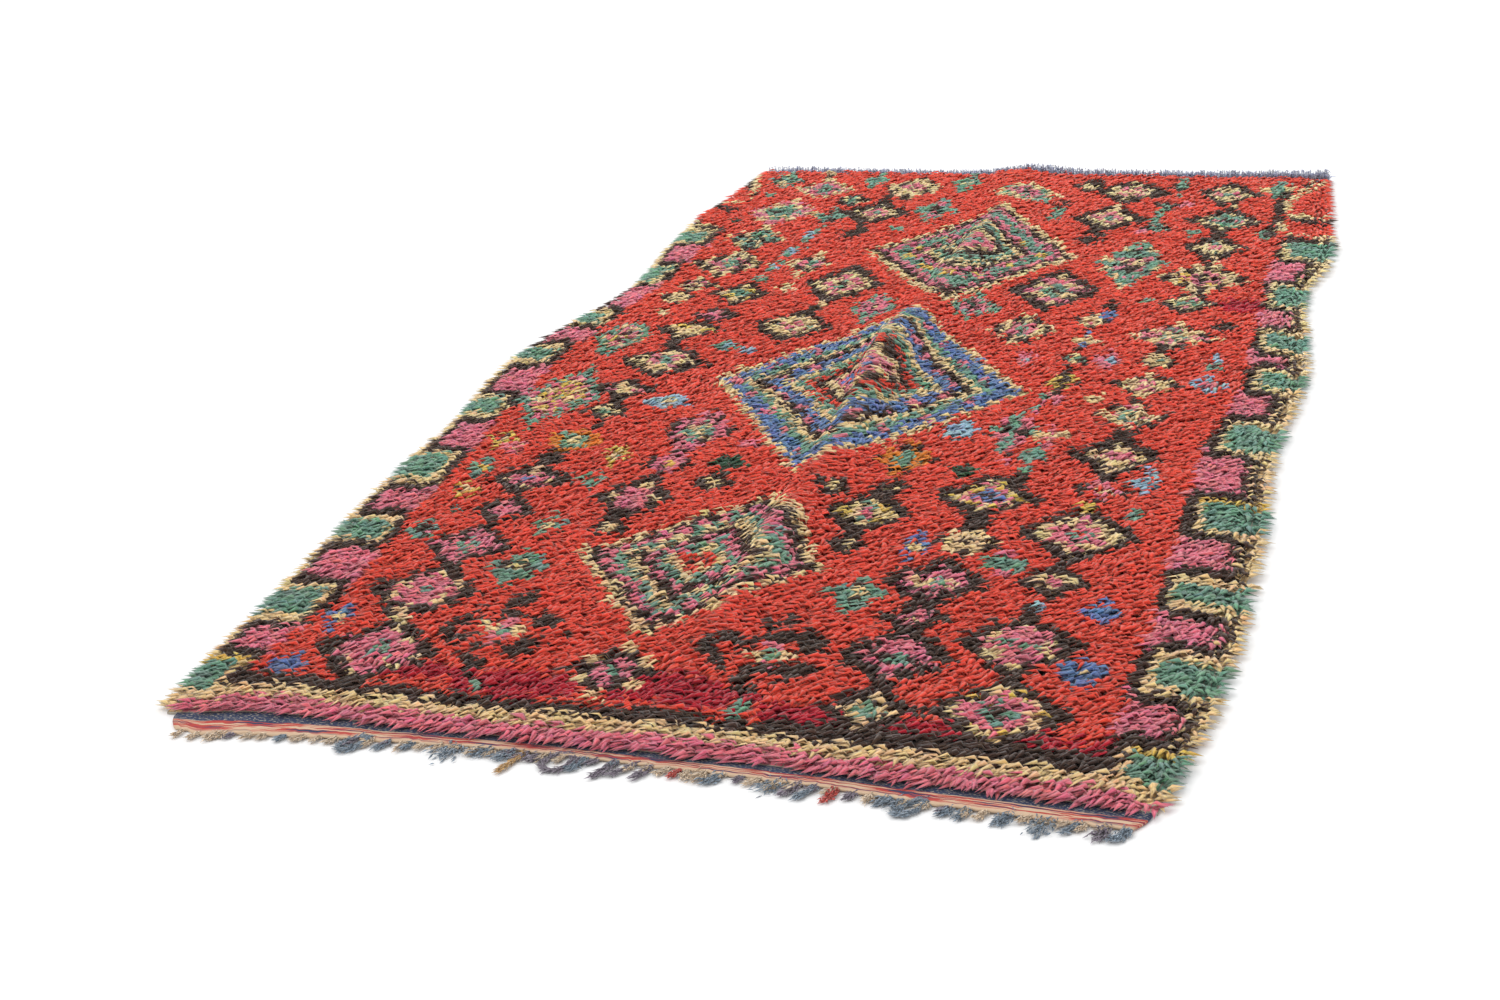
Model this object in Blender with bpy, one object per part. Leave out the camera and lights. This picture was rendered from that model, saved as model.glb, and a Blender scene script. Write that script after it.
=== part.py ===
"""A boucherouite rug: its knotted pile, its flat-woven near end and its far fringe.

Units are metres. +Z is up, +Y runs along the rug to its far end, and the floor is at z = 0.
Places along and across the rug are measured from the middle of its pile.
"""

import random

import bmesh
import bpy
import numpy as np
from mathutils import Vector, noise

RUG_NAME = "boucherouite_rug"
PIECE_GAP = 0.0003

# Middle of the whole floor area, fringes included: the part's own origin
FLOOR_MIDDLE = Vector((-0.0054, -0.0612, 0.0))

# Ends of the pile: place along the rug at its middle, and slope from left to right
NEAR_END = -1.500
NEAR_END_SLOPE = -0.014
FAR_END = 1.412
FAR_END_SLOPE = 0.026

# Tips of the pile on the long sides: place along the rug, left edge, right edge
LONG_EDGES = (
    (-1.50, -0.676, 0.695),
    (-1.40, -0.688, 0.705),
    (-1.20, -0.702, 0.731),
    (-1.00, -0.717, 0.741),
    (-0.60, -0.740, 0.738),
    (-0.40, -0.736, 0.727),
    (-0.20, -0.760, 0.735),
    (-0.05, -0.770, 0.750),
    (0.10, -0.750, 0.752),
    (0.30, -0.711, 0.736),
    (0.45, -0.688, 0.720),
    (0.62, -0.698, 0.724),
    (0.72, -0.712, 0.751),
    (0.90, -0.716, 0.754),
    (1.02, -0.722, 0.737),
    (1.20, -0.701, 0.722),
    (1.45, -0.688, 0.690),
)

# Lengthwise fold that stands off the floor: place along the rug, rise of its crest,
# place of its crest across the rug
FOLD_CREST = (
    (-1.48, 0.000, 0.012),
    (-1.34, 0.012, 0.014),
    (-1.10, 0.011, 0.006),
    (-0.94, 0.021, 0.012),
    (-0.80, 0.030, 0.010),
    (-0.60, 0.015, 0.004),
    (-0.32, 0.020, 0.000),
    (-0.14, 0.046, -0.008),
    (0.04, 0.058, -0.020),
    (0.18, 0.040, -0.024),
    (0.36, 0.013, -0.018),
    (0.55, 0.021, -0.008),
    (0.80, 0.036, 0.000),
    (0.97, 0.019, 0.002),
    (1.20, 0.012, 0.004),
    (1.44, 0.021, 0.008),
)
FOLD_HALF_WIDTH = 0.042
FOLD_SHARPNESS = 1.5
# Rises under this are pressed flat by the rug's weight
PRESSED_FLAT = 0.0008
# A table's corners are rounded by reading it at these offsets too
TABLE_SOFTENING = (-0.04, -0.02, 0.0, 0.02, 0.04)

# Pile
PILE_THICKNESS = 0.0215
RIM_THICKNESS = 0.0135
RIM_BELT = 0.46
LUMP_HEIGHT = 0.0070
LUMP_SPACING = 0.085
TUFT_UNEVENNESS = 0.0016
# Widths of the cloth's columns from the fold to the edge, as shares of the half width
COLUMN_STEPS = (24, 30, 38, 47, 60, 66, 66, 66, 66, 66, 66, 60, 45, 28)
ROWS = 60
RIM_ROW = 0.026

# Locks round the rim of the pile, counted in faces of its wall from a corner
SIDE_LOCK_EVERY = 4
FIRST_LOW_LOCK = 2
FIRST_HIGH_LOCK = 4
FRONT_LOCK_EVERY = 2
LAST_FACES_FREE = 2
SIDE_LOCK_LENGTHS = (0.010, 0.018)
SIDE_LOCK_LEAN = -0.005
SIDE_LOCK_TIP = 0.42
SIDE_LOCK_TIP_HEIGHT = 0.0045
FRONT_LOCK_LENGTHS = (0.010, 0.017)
FRONT_LOCK_LEAN = -0.004
FRONT_LOCK_TIP = 0.55
FRONT_LOCK_CLEARANCE = 0.0027
# A face looks a way when its normal lies this close to it
FACING = 0.75

# Flat-woven band at the near end, with its torn ends and loops
BAND_LEFT = -0.636
BAND_RIGHT = 0.664
BAND_WIDTH = 0.047
BAND_THICKNESS = 0.0035
BAND_STEPS = 160
STRAND_LENGTHS = (0.007, 0.019)
STRAND_TIP = 0.50
STRAND_TIP_HEIGHT = 0.0025
STRAND_LEAN = -0.36
STRAND_LEAN_SPREAD = 0.08
# Longer loops and ends of the warp: place across the rug, length
LONG_STRANDS = (
    (-0.37, 0.031),
    (-0.15, 0.046),
    (-0.07, 0.034),
    (0.01, 0.029),
    (0.38, 0.031),
    (0.50, 0.030),
)

# Fringe at the far end
FRINGE_INSET = 0.008
FRINGE_STRIP = 0.011
FRINGE_HEIGHT = 0.0095
FRINGE_STEPS = 120
FRINGE_LENGTHS = (0.017, 0.030)
FRINGE_TIP = 0.40
FRINGE_TIP_HEIGHT = 0.0060
FRINGE_LEAN = 0.10


def read_table(rows, along, column):
    """A table's column at a place along the rug, with the corners between its rows rounded."""
    places = [row[0] for row in rows]
    values = [row[column] for row in rows]
    readings = [np.interp(along + offset, places, values) for offset in TABLE_SOFTENING]
    return float(np.mean(readings))


def fold_rise(across, along):
    """How far the rug's underside stands off the floor."""
    crest = read_table(FOLD_CREST, along, 1)
    from_crest = across - read_table(FOLD_CREST, along, 2)
    spread = 1.0 + (from_crest / FOLD_HALF_WIDTH) ** 2
    return max(0.0, crest / spread ** FOLD_SHARPNESS - PRESSED_FLAT)


def near_end(across):
    return NEAR_END + NEAR_END_SLOPE * across


def far_end(across):
    return FAR_END + FAR_END_SLOPE * across


def pile_edge(side, along):
    """Edge of the cloth under the pile, on the left (side -1) or the right (side 1)."""
    tips = read_table(LONG_EDGES, along, 1 if side < 0 else 2)
    return tips - side * sum(SIDE_LOCK_LENGTHS) / 2


def shares_from_steps(steps):
    """Running shares of a row of steps, from 0 to 1."""
    totals = np.cumsum((0.0,) + tuple(steps))
    return totals / totals[-1]


def lump(across, along):
    """Unevenness of the pile's surface."""
    place = Vector((across / LUMP_SPACING, along / LUMP_SPACING, 0.0))
    return LUMP_HEIGHT * noise.noise(place)


def make_material(name, colour, roughness):
    material = bpy.data.materials.new(name)
    material.use_nodes = True
    shader = material.node_tree.nodes["Principled BSDF"]
    shader.inputs["Base Color"].default_value = (*colour, 1.0)
    shader.inputs["Roughness"].default_value = roughness
    shader.inputs["Metallic"].default_value = 0.0
    return material


def make_object(bm, name, material, collection, origin):
    """Close the modelling of one piece and place it under the rug's origin."""
    bmesh.ops.recalc_face_normals(bm, faces=bm.faces[:])
    bmesh.ops.triangulate(bm, faces=bm.faces[:])
    mesh = bpy.data.meshes.new(name)
    bm.to_mesh(mesh)
    bm.free()
    mesh.materials.append(material)
    mesh.shade_smooth()
    piece = bpy.data.objects.new(name, mesh)
    piece.parent = origin
    collection.objects.link(piece)
    return piece


def flat_grid(columns, rows):
    """A grid whose points run from -1 to 1 both ways."""
    bm = bmesh.new()
    bmesh.ops.create_grid(bm, x_segments=columns, y_segments=rows, size=1.0)
    return bm


def thicken(bm):
    """Close a sheet at height 0 into a slab of height 1, whose layers are shaped afterwards."""
    made = bmesh.ops.extrude_face_region(bm, geom=bm.faces[:])["geom"]
    underside = [item for item in made if isinstance(item, bmesh.types.BMVert)]
    bmesh.ops.translate(bm, verts=underside, vec=(0.0, 0.0, -1.0))


def layer(bm, height):
    """Points of an unshaped slab at a height: 0 is its top, and -1 its underside."""
    return [vert for vert in bm.verts if abs(vert.co.z - height) < 0.25]


def pull_lock(face, push, tip_share, tip_heights):
    """Draw an extruded face out to a lock's tip, between the tip's lower and upper heights."""
    middle = face.calc_center_median()
    lowest_first = sorted(face.verts, key=lambda vert: vert.co.z)
    for order, vert in enumerate(lowest_first):
        height = tip_heights[0] if order < 2 else tip_heights[1]
        vert.co = middle + (vert.co - middle) * tip_share + push
        vert.co.z = height


def dissolve_flat_underside(bm):
    """Join the underside's faces where it lies flat on the floor."""
    on_floor = [face for face in bm.faces if all(abs(vert.co.z) < 1e-7 for vert in face.verts)]
    floor_faces = set(on_floor)
    inner_edges = [
        edge
        for face in on_floor
        for edge in face.edges
        if len(edge.link_faces) == 2 and set(edge.link_faces) <= floor_faces
    ]
    inner_verts = [
        vert
        for vert in {vert for face in on_floor for vert in face.verts}
        if set(vert.link_faces) <= floor_faces
    ]
    bmesh.ops.dissolve_limit(
        bm, angle_limit=0.001, verts=inner_verts, edges=list(set(inner_edges))
    )


def lay_out_pile(bm):
    """Move the grid's points to the pile's plan, narrow rows and columns at its rim."""
    columns = len(COLUMN_STEPS)
    across_shares = shares_from_steps(COLUMN_STEPS)
    inner_row = (FAR_END - NEAR_END - 2 * RIM_ROW) / (ROWS - 2)
    row_steps = (RIM_ROW,) + (inner_row,) * (ROWS - 2) + (RIM_ROW,)
    along_shares = shares_from_steps(row_steps)
    for vert in bm.verts:
        column = round(vert.co.x * columns)
        row = round((vert.co.y + 1) / 2 * ROWS)
        side = -1 if column < 0 else 1
        along = NEAR_END + along_shares[row] * (FAR_END - NEAR_END)
        crest = read_table(FOLD_CREST, along, 2)
        across = crest + across_shares[abs(column)] * (pile_edge(side, along) - crest)
        stretch = (far_end(across) - near_end(across)) / (FAR_END - NEAR_END)
        vert.co.x = across
        vert.co.y = near_end(across) + (along - NEAR_END) * stretch


def shape_pile(bm):
    """Raise the pile over the floor and the fold, and return the belt round its lower rim."""
    rng = random.Random(3)
    upright = [edge for edge in bm.edges if abs(edge.verts[0].co.z - edge.verts[1].co.z) > 0.5]
    bmesh.ops.subdivide_edges(bm, edges=upright, cuts=1)
    top = layer(bm, 0.0)
    belt = layer(bm, -0.5)
    underside = layer(bm, -1.0)
    rim = {(vert.co.x, vert.co.y) for vert in belt}
    for vert in underside:
        vert.co.z = fold_rise(vert.co.x, vert.co.y)
    for vert in top:
        on_rim = (vert.co.x, vert.co.y) in rim
        thickness = RIM_THICKNESS if on_rim else PILE_THICKNESS + lump(vert.co.x, vert.co.y)
        uneven = rng.uniform(-TUFT_UNEVENNESS, TUFT_UNEVENNESS)
        vert.co.z = fold_rise(vert.co.x, vert.co.y) + thickness + uneven
    for vert in belt:
        vert.co.z = fold_rise(vert.co.x, vert.co.y) + RIM_THICKNESS * RIM_BELT
    return belt


def wall_faces(bm, outward, belt, upper):
    """Faces of the rim's wall that look outward, above its belt or below it, in order."""
    bm.normal_update()
    belt_set = set(belt)
    faces = []
    for face in bm.faces:
        touches = [vert for vert in face.verts if vert in belt_set]
        if len(touches) != 2 or len(face.verts) != 4:
            continue
        if face.normal.dot(outward) < FACING:
            continue
        belt_height = sum(vert.co.z for vert in touches) / 2
        if (face.calc_center_median().z > belt_height) == upper:
            faces.append(face)
    across = Vector((0, 0, 1)).cross(outward)
    return sorted(faces, key=lambda face: face.calc_center_median().dot(across))


def pull_side_locks(bm, belt):
    """Locks along the long sides, in turn low on the floor and higher up, with gaps between."""
    rng = random.Random(11)
    for side in (-1, 1):
        outward = Vector((side, 0, 0))
        lower = wall_faces(bm, outward, belt, upper=False)
        upper = wall_faces(bm, outward, belt, upper=True)
        low_locks = lower[FIRST_LOW_LOCK:-LAST_FACES_FREE:SIDE_LOCK_EVERY]
        high_locks = upper[FIRST_HIGH_LOCK:-LAST_FACES_FREE:SIDE_LOCK_EVERY]
        for chosen, tip_heights in (
            (low_locks, (0.0, SIDE_LOCK_TIP_HEIGHT)),
            (high_locks, (SIDE_LOCK_TIP_HEIGHT, 2 * SIDE_LOCK_TIP_HEIGHT)),
        ):
            for face in bmesh.ops.extrude_discrete_faces(bm, faces=chosen)["faces"]:
                reach = rng.uniform(*SIDE_LOCK_LENGTHS)
                push = Vector((side * reach, SIDE_LOCK_LEAN, 0))
                pull_lock(face, push, SIDE_LOCK_TIP, tip_heights)


def pull_front_locks(bm, belt):
    """Locks that hang from the pile's near edge over the flat-woven band."""
    rng = random.Random(12)
    wall = wall_faces(bm, Vector((0, -1, 0)), belt, upper=True)
    chosen = wall[1:-1:FRONT_LOCK_EVERY]
    lowest = BAND_THICKNESS + FRONT_LOCK_CLEARANCE
    for face in bmesh.ops.extrude_discrete_faces(bm, faces=chosen)["faces"]:
        push = Vector((FRONT_LOCK_LEAN, -rng.uniform(*FRONT_LOCK_LENGTHS), 0))
        pull_lock(face, push, FRONT_LOCK_TIP, (lowest, lowest + SIDE_LOCK_TIP_HEIGHT))


def make_pile_field(material, collection, origin):
    """The knotted pile: a lumpy slab that follows the fold, with locks at its rim."""
    bm = flat_grid(2 * len(COLUMN_STEPS), ROWS)
    lay_out_pile(bm)
    rim_edges = [edge for edge in bm.edges if edge.is_boundary]
    bmesh.ops.subdivide_edges(bm, edges=rim_edges, cuts=1)
    thicken(bm)
    belt = shape_pile(bm)
    bmesh.ops.recalc_face_normals(bm, faces=bm.faces[:])
    pull_side_locks(bm, belt)
    pull_front_locks(bm, belt)
    dissolve_flat_underside(bm)
    return make_object(bm, "pile_field", material, collection, origin)


def outer_faces(bm, direction, steps):
    """Faces of a strip's outer side, in order from left to right."""
    bmesh.ops.recalc_face_normals(bm, faces=bm.faces[:])
    bm.normal_update()
    faces = [face for face in bm.faces if face.normal.y * direction > FACING]
    assert len(faces) == steps
    return sorted(faces, key=lambda face: face.calc_center_median().x)


def make_near_end_band(material, collection, origin):
    """The flat-woven band on the floor, its torn ends and loops fused to its outer edge."""
    rng = random.Random(21)
    bm = flat_grid(BAND_STEPS, 1)
    for vert in bm.verts:
        across = BAND_LEFT + (vert.co.x + 1) / 2 * (BAND_RIGHT - BAND_LEFT)
        reach = PIECE_GAP if vert.co.y > 0 else BAND_WIDTH
        vert.co.x = across
        vert.co.y = near_end(across) - reach
    thicken(bm)
    for vert in bm.verts:
        vert.co.z = BAND_THICKNESS * (vert.co.z + 1)
    roots = outer_faces(bm, -1, BAND_STEPS)[1::2]
    for face in bmesh.ops.extrude_discrete_faces(bm, faces=roots)["faces"]:
        place = face.calc_center_median().x
        length = rng.uniform(*STRAND_LENGTHS)
        for long_place, long_length in LONG_STRANDS:
            if abs(place - long_place) < (BAND_RIGHT - BAND_LEFT) / BAND_STEPS:
                length = long_length
        lean = STRAND_LEAN + rng.uniform(-STRAND_LEAN_SPREAD, STRAND_LEAN_SPREAD)
        push = Vector((lean * length, -length, 0))
        pull_lock(face, push, STRAND_TIP, (0.0, STRAND_TIP_HEIGHT))
    return make_object(bm, "near_end_band", material, collection, origin)


def make_far_fringe(material, collection, origin):
    """The narrow strip at the far end with its locks, which follow the fold."""
    rng = random.Random(31)
    bm = flat_grid(FRINGE_STEPS, 1)
    left = pile_edge(-1, FAR_END) + FRINGE_INSET
    right = pile_edge(1, FAR_END) - FRINGE_INSET
    for vert in bm.verts:
        across = left + (vert.co.x + 1) / 2 * (right - left)
        reach = PIECE_GAP if vert.co.y < 0 else FRINGE_STRIP
        vert.co.x = across
        vert.co.y = far_end(across) + reach
    thicken(bm)
    for vert in bm.verts:
        vert.co.z = fold_rise(vert.co.x, FAR_END) + FRINGE_HEIGHT * (vert.co.z + 1)
    roots = outer_faces(bm, 1, FRINGE_STEPS)[1::2]
    for face in bmesh.ops.extrude_discrete_faces(bm, faces=roots)["faces"]:
        length = rng.uniform(*FRINGE_LENGTHS)
        base = fold_rise(face.calc_center_median().x, FAR_END)
        push = Vector((rng.uniform(-FRINGE_LEAN, FRINGE_LEAN) * length, length, 0))
        pull_lock(face, push, FRINGE_TIP, (base, base + FRINGE_TIP_HEIGHT))
    return make_object(bm, "far_fringe", material, collection, origin)


def clear_scene():
    for item in list(bpy.data.objects):
        bpy.data.objects.remove(item)


def main():
    clear_scene()
    collection = bpy.data.collections.new(RUG_NAME)
    bpy.context.scene.collection.children.link(collection)
    origin = bpy.data.objects.new("rug_origin", None)
    origin.location = -FLOOR_MIDDLE
    collection.objects.link(origin)
    make_pile_field(make_material("red_pile", (0.69, 0.07, 0.04), 0.9), collection, origin)
    make_near_end_band(make_material("woven_band", (0.30, 0.10, 0.09), 0.85), collection, origin)
    make_far_fringe(make_material("blue_fringe", (0.14, 0.17, 0.29), 0.9), collection, origin)
    bpy.context.view_layer.update()


main()
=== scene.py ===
"""A boucherouite rug: the looks of its knotted pile, woven ground, flat-woven end and fringe.

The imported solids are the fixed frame. Every piece is made over them, in metres, with +Z up and
+Y along the rug. Places on the rug are measured from the middle of its pile, and the tables that
hold them are in millimetres.
"""

import math

import bpy
import numpy as np
from bpy.props import FloatProperty, FloatVectorProperty, IntProperty, PointerProperty
from mathutils import Matrix, Vector


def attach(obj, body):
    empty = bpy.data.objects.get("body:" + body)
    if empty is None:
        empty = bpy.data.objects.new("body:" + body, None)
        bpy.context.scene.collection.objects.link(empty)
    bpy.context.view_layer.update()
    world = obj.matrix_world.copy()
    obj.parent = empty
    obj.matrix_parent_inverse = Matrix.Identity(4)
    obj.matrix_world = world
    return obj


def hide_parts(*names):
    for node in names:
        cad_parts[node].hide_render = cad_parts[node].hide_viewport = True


bl_info = {
    "name": "Boucherouite Rug",
    "version": (1, 0, 0),
    "blender": (4, 5, 0),
    "location": "View3D > Sidebar > Rug",
    "description": "Knots a shaggy rag rug over its folded ground cloth",
    "category": "Object",
}

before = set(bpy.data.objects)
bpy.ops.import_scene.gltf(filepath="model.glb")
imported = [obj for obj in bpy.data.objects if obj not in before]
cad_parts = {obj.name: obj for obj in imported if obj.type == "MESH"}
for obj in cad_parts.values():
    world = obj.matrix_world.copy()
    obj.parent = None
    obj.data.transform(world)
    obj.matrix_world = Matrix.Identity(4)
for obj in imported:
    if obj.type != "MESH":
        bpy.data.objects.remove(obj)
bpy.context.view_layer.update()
ROOT_BODY = "root"

# Plan of the pile: the ends of its middle line, and how far each end runs askew for each metre
FLOOR_MIDDLE = (-0.0054, -0.0612)
NEAR_END = -1.500
NEAR_END_SLOPE = -0.014
FAR_END = 1.447
FAR_END_SLOPE = 0.040
# How far the near rows sag towards their corners, in millimetres: place across, sag
NEAR_SAG = (
    (-700, -55),
    (-650, -50),
    (-600, -26),
    (-550, -14),
    (-500, -8),
    (0, -5),
    (300, -8),
    (500, -13),
    (650, -22),
    (700, -26),
)
NEAR_SAG_REACH = 0.08
RIM_REACH = 0.022
BAND_LEFT = -0.652
BAND_RIGHT = 0.670
BAND_CORNER = 0.020
EDGE_RAGGEDNESS = 0.0012
PILE_GAP = 0.0005
# The loose edge of the flat weave stands off the floor in swells
SWELL_RISE = 0.0012
SWELL_SIZE = 0.05

# Tips of the pile on the long sides, in millimetres: place along the rug, left edge, right edge
LONG_EDGES = (
    (-1500, -688, 695),
    (-1400, -692, 705),
    (-1200, -702, 731),
    (-1000, -717, 741),
    (-600, -740, 738),
    (-400, -736, 727),
    (-200, -760, 735),
    (-50, -770, 750),
    (100, -750, 752),
    (300, -711, 736),
    (450, -688, 720),
    (620, -698, 724),
    (720, -712, 751),
    (900, -716, 754),
    (1020, -722, 737),
    (1200, -701, 728),
    (1450, -690, 706),
)

# Lengthwise fold, in millimetres: place along, rise of its crest, place across, half width
FOLD_CREST = (
    (-1480, 0, 12, 42),
    (-1340, 12, 14, 42),
    (-1100, 11, 6, 42),
    (-940, 21, 12, 42),
    (-800, 30, 10, 42),
    (-600, 15, 4, 42),
    (-320, 20, 0, 42),
    (-140, 46, -8, 42),
    (40, 58, -20, 42),
    (180, 40, -24, 42),
    (360, 13, -18, 42),
    (550, 21, -8, 42),
    (800, 36, 0, 42),
    (970, 19, 2, 42),
    (1200, 11, -8, 50),
    (1440, 14, -30, 75),
)
FOLD_SHARPNESS = 1.5
PRESSED_FLAT = 0.0008
TABLE_SOFTENING = (-0.04, -0.02, 0.0, 0.02, 0.04)

# Seeds of the random draws
PILE_SEED = 7
GROUND_SEED = 9
WEAVE_SEED = 21
TORN_SEED = 22
WISP_SEED = 31
SWELL_SEED = 31

# Pile: the first roots stand this far inside its near end, and its leaves are combed this way
ROOT_MARGIN = 0.021
ROOT_HEIGHT = 0.003
COMBED_HEADING = math.radians(-148)
RIM_TURN = 0.016
RIM_SHORTNESS = 0.15
# How much each leaf of a knot at the rim turns outwards
RIM_FAN = (0.35, 0.75, 1.10, 1.40)
FLOOR_CLEARANCE = 0.0006
# Painted shade: the ground cloth's knot colours are darkened a little, for the shade under the
# pile
GROUND_PAINTED_SHADE = 0.95
BACK_UNEVENNESS = 0.08
KNOT_STRAY = (0.0026, 0.0042)

# One leaf of rag arches over: shares at its root, its crest and its tip
LEAF_REACHES = (0.0, 0.44, 1.0)
LEAF_RISES = (0.0, 1.0, 0.82)
LEAF_LEANS = (0.0, 0.38, 1.0)
# Colour along a leaf at its root, its crest and its tip: the root is painted lighter, as painted
# light that lifts the shade falling between the leaves
LEAF_PAINTED_LIGHT = (1.15, 1.00, 1.00)
TIP_SHOWS = 0.62
# Leaves of one knot: turn of each from the knot's way, its root's step aside, share of its rise
LEAVES_OF_A_KNOT = (
    (-0.26, -0.0036, 0.94),
    (-0.08, -0.0012, 0.70),
    (0.10, 0.0014, 1.00),
    (0.28, 0.0036, 0.82),
)
STRAY_TILT = (-0.12, 0.25)
# The combing swirls in patches: turn, size of a patch, seed
SWIRLS = ((0.40, 0.10, 5), (0.30, 0.035, 6))
KNOT_TURN = 0.18
# How much the leaves of a knot differ from one another
LEAF_TURN = 0.22
LEAF_TILT = 0.09
LENGTH_UNEVENNESS = 0.07
WIDTH_UNEVENNESS = 0.14
LEAF_FLATNESS = (0.20, 0.34)
LEAF_TWIST = 0.22
LEAF_CURL = 0.35
# The leaves lean further over at the rims and beside the near end, and stray along the rims
EDGE_LEAN = 0.10
NEAR_LEAN_REACH = 0.03
RIM_STRAY = 0.3
# Unevenness of the shade from knot to knot and from leaf to leaf, and in streaks across the rug
SHADE_UNEVENNESS = 0.05
STREAK_DEPTH = 0.07
STREAK_LENGTHENING = 0.25
STREAK_SIZE = 0.03
STREAK_SEED = 8
# Depth of the fibres' streaks in the rags, and in the loose yarns at both ends
RAG_STREAKS = 0.22
YARN_STREAKS = 0.2

# Outer edge of the flat-woven end, in millimetres: place across, place along
BAND_EDGE = (
    (-640, -1548),
    (-610, -1555),
    (-530, -1542),
    (-370, -1525),
    (-150, -1514),
    (30, -1517),
    (250, -1524),
    (410, -1540),
    (530, -1546),
    (664, -1551),
)
# Torn ends on that edge, in millimetres: place across, length, width, shape, colour
TORN_ENDS = (
    (-560, 10, 16, "tuft", "c"),
    (-360, 30, 22, "loop", "g"),
    (-325, 16, 10, "tuft", "g"),
    (-290, 14, 8, "tuft", "g"),
    (-235, 20, 40, "tuft", "g"),
    (-185, 17, 22, "tuft", "g"),
    (-155, 20, 18, "tuft", "g"),
    (-135, 44, 8, "tuft", "s"),
    (-115, 14, 16, "tuft", "v"),
    (-75, 33, 34, "loop", "v"),
    (-50, 26, 12, "tuft", "g"),
    (-10, 34, 12, "tuft", "v"),
    (20, 30, 8, "tuft", "v"),
    (40, 24, 12, "tuft", "v"),
    (75, 14, 10, "tuft", "r"),
    (105, 16, 18, "tuft", "c"),
    (130, 20, 18, "tuft", "g"),
    (205, 18, 30, "tuft", "g"),
    (235, 24, 14, "tuft", "v"),
    (258, 26, 12, "tuft", "g"),
    (282, 22, 14, "tuft", "r"),
    (345, 12, 16, "tuft", "g"),
    (370, 14, 16, "tuft", "g"),
    (395, 32, 18, "loop", "g"),
    (430, 15, 14, "tuft", "g"),
    (450, 16, 12, "tuft", "g"),
    (500, 16, 26, "tuft", "g"),
    (548, 24, 30, "tuft", "g"),
    (590, 20, 12, "tuft", "g"),
    (618, 20, 22, "tuft", "v"),
    (645, 22, 14, "tuft", "g"),
)
TORN_HEADING = math.radians(-112)
# Small tufts between them: ends of the row, lengths, widths, colours
SPARE_INSETS = (0.034, 0.024)
SPARE_LENGTHS = (0.006, 0.013)
SPARE_WIDTHS = (0.006, 0.012)
SPARE_COLOURS = "cccgccv"
FIBRE_RUN = 0.011
LOOP_FULLNESS = 3.0
LOOP_SPREAD = 0.0022
TUFT_SPREAD = 0.24
# Loose fibres: thickness as a share of their width, range of widths, twist and curl
FIBRE_FLATNESS = 0.6
FIBRE_WIDTHS = (0.7, 1.4)
FIBRE_TWIST = 0.6
FIBRE_CURL = 0.8

# Wisps: crowding towards the left, depth of the row, spread of their way and of their lean
WISP_CROWDING = 0.85
WISP_DEPTHS = (-0.004, 0.012)
WISP_HEADING_SPREAD = 0.95
WISP_LEAN_SPREAD = 0.45
WISP_LENGTHS = (0.35, 1.0)
WISP_ROOT_HEIGHT = 0.002
WISP_SHADES = 0.20
# How long the wisps are at places across the far end
WISP_FULLNESS_PLACES = (-0.70, -0.25, -0.04, 0.03, 0.10, 0.22, 0.45, 0.70)
WISP_FULLNESS = (0.66, 0.55, 0.55, 0.84, 0.74, 0.66, 0.68, 0.80)

# Letters of the yarns in the weaver's chart, in the order of their colours
YARN_LETTERS = "rdkcptbyosgl"
# How uneven each yarn's dye is, in the same order
YARN_UNEVENNESS = (0.03, 0.05, 0.04, 0.05, 0.08, 0.07, 0.09, 0.05, 0.05, 0.08, 0.10, 0.08)

# The weaver's chart, in millimetres
# Three large stepped lozenges on the middle line: place across and along of the widest row,
# reach to the left, right, near and far, step of the far corner to the right, rings from outside
LARGE_LOZENGES = (
    (-100, -930, 195, 200, 265, 280, 50, "c k p t c k p t c r k"),
    (-50, -120, 285, 310, 440, 435, 10, "c b bbp t c k pb b c t r k c p b r"),
    (-10, 735, 240, 228, 365, 365, 0, "c k p t tty p k c t k c p t"),
)

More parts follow.
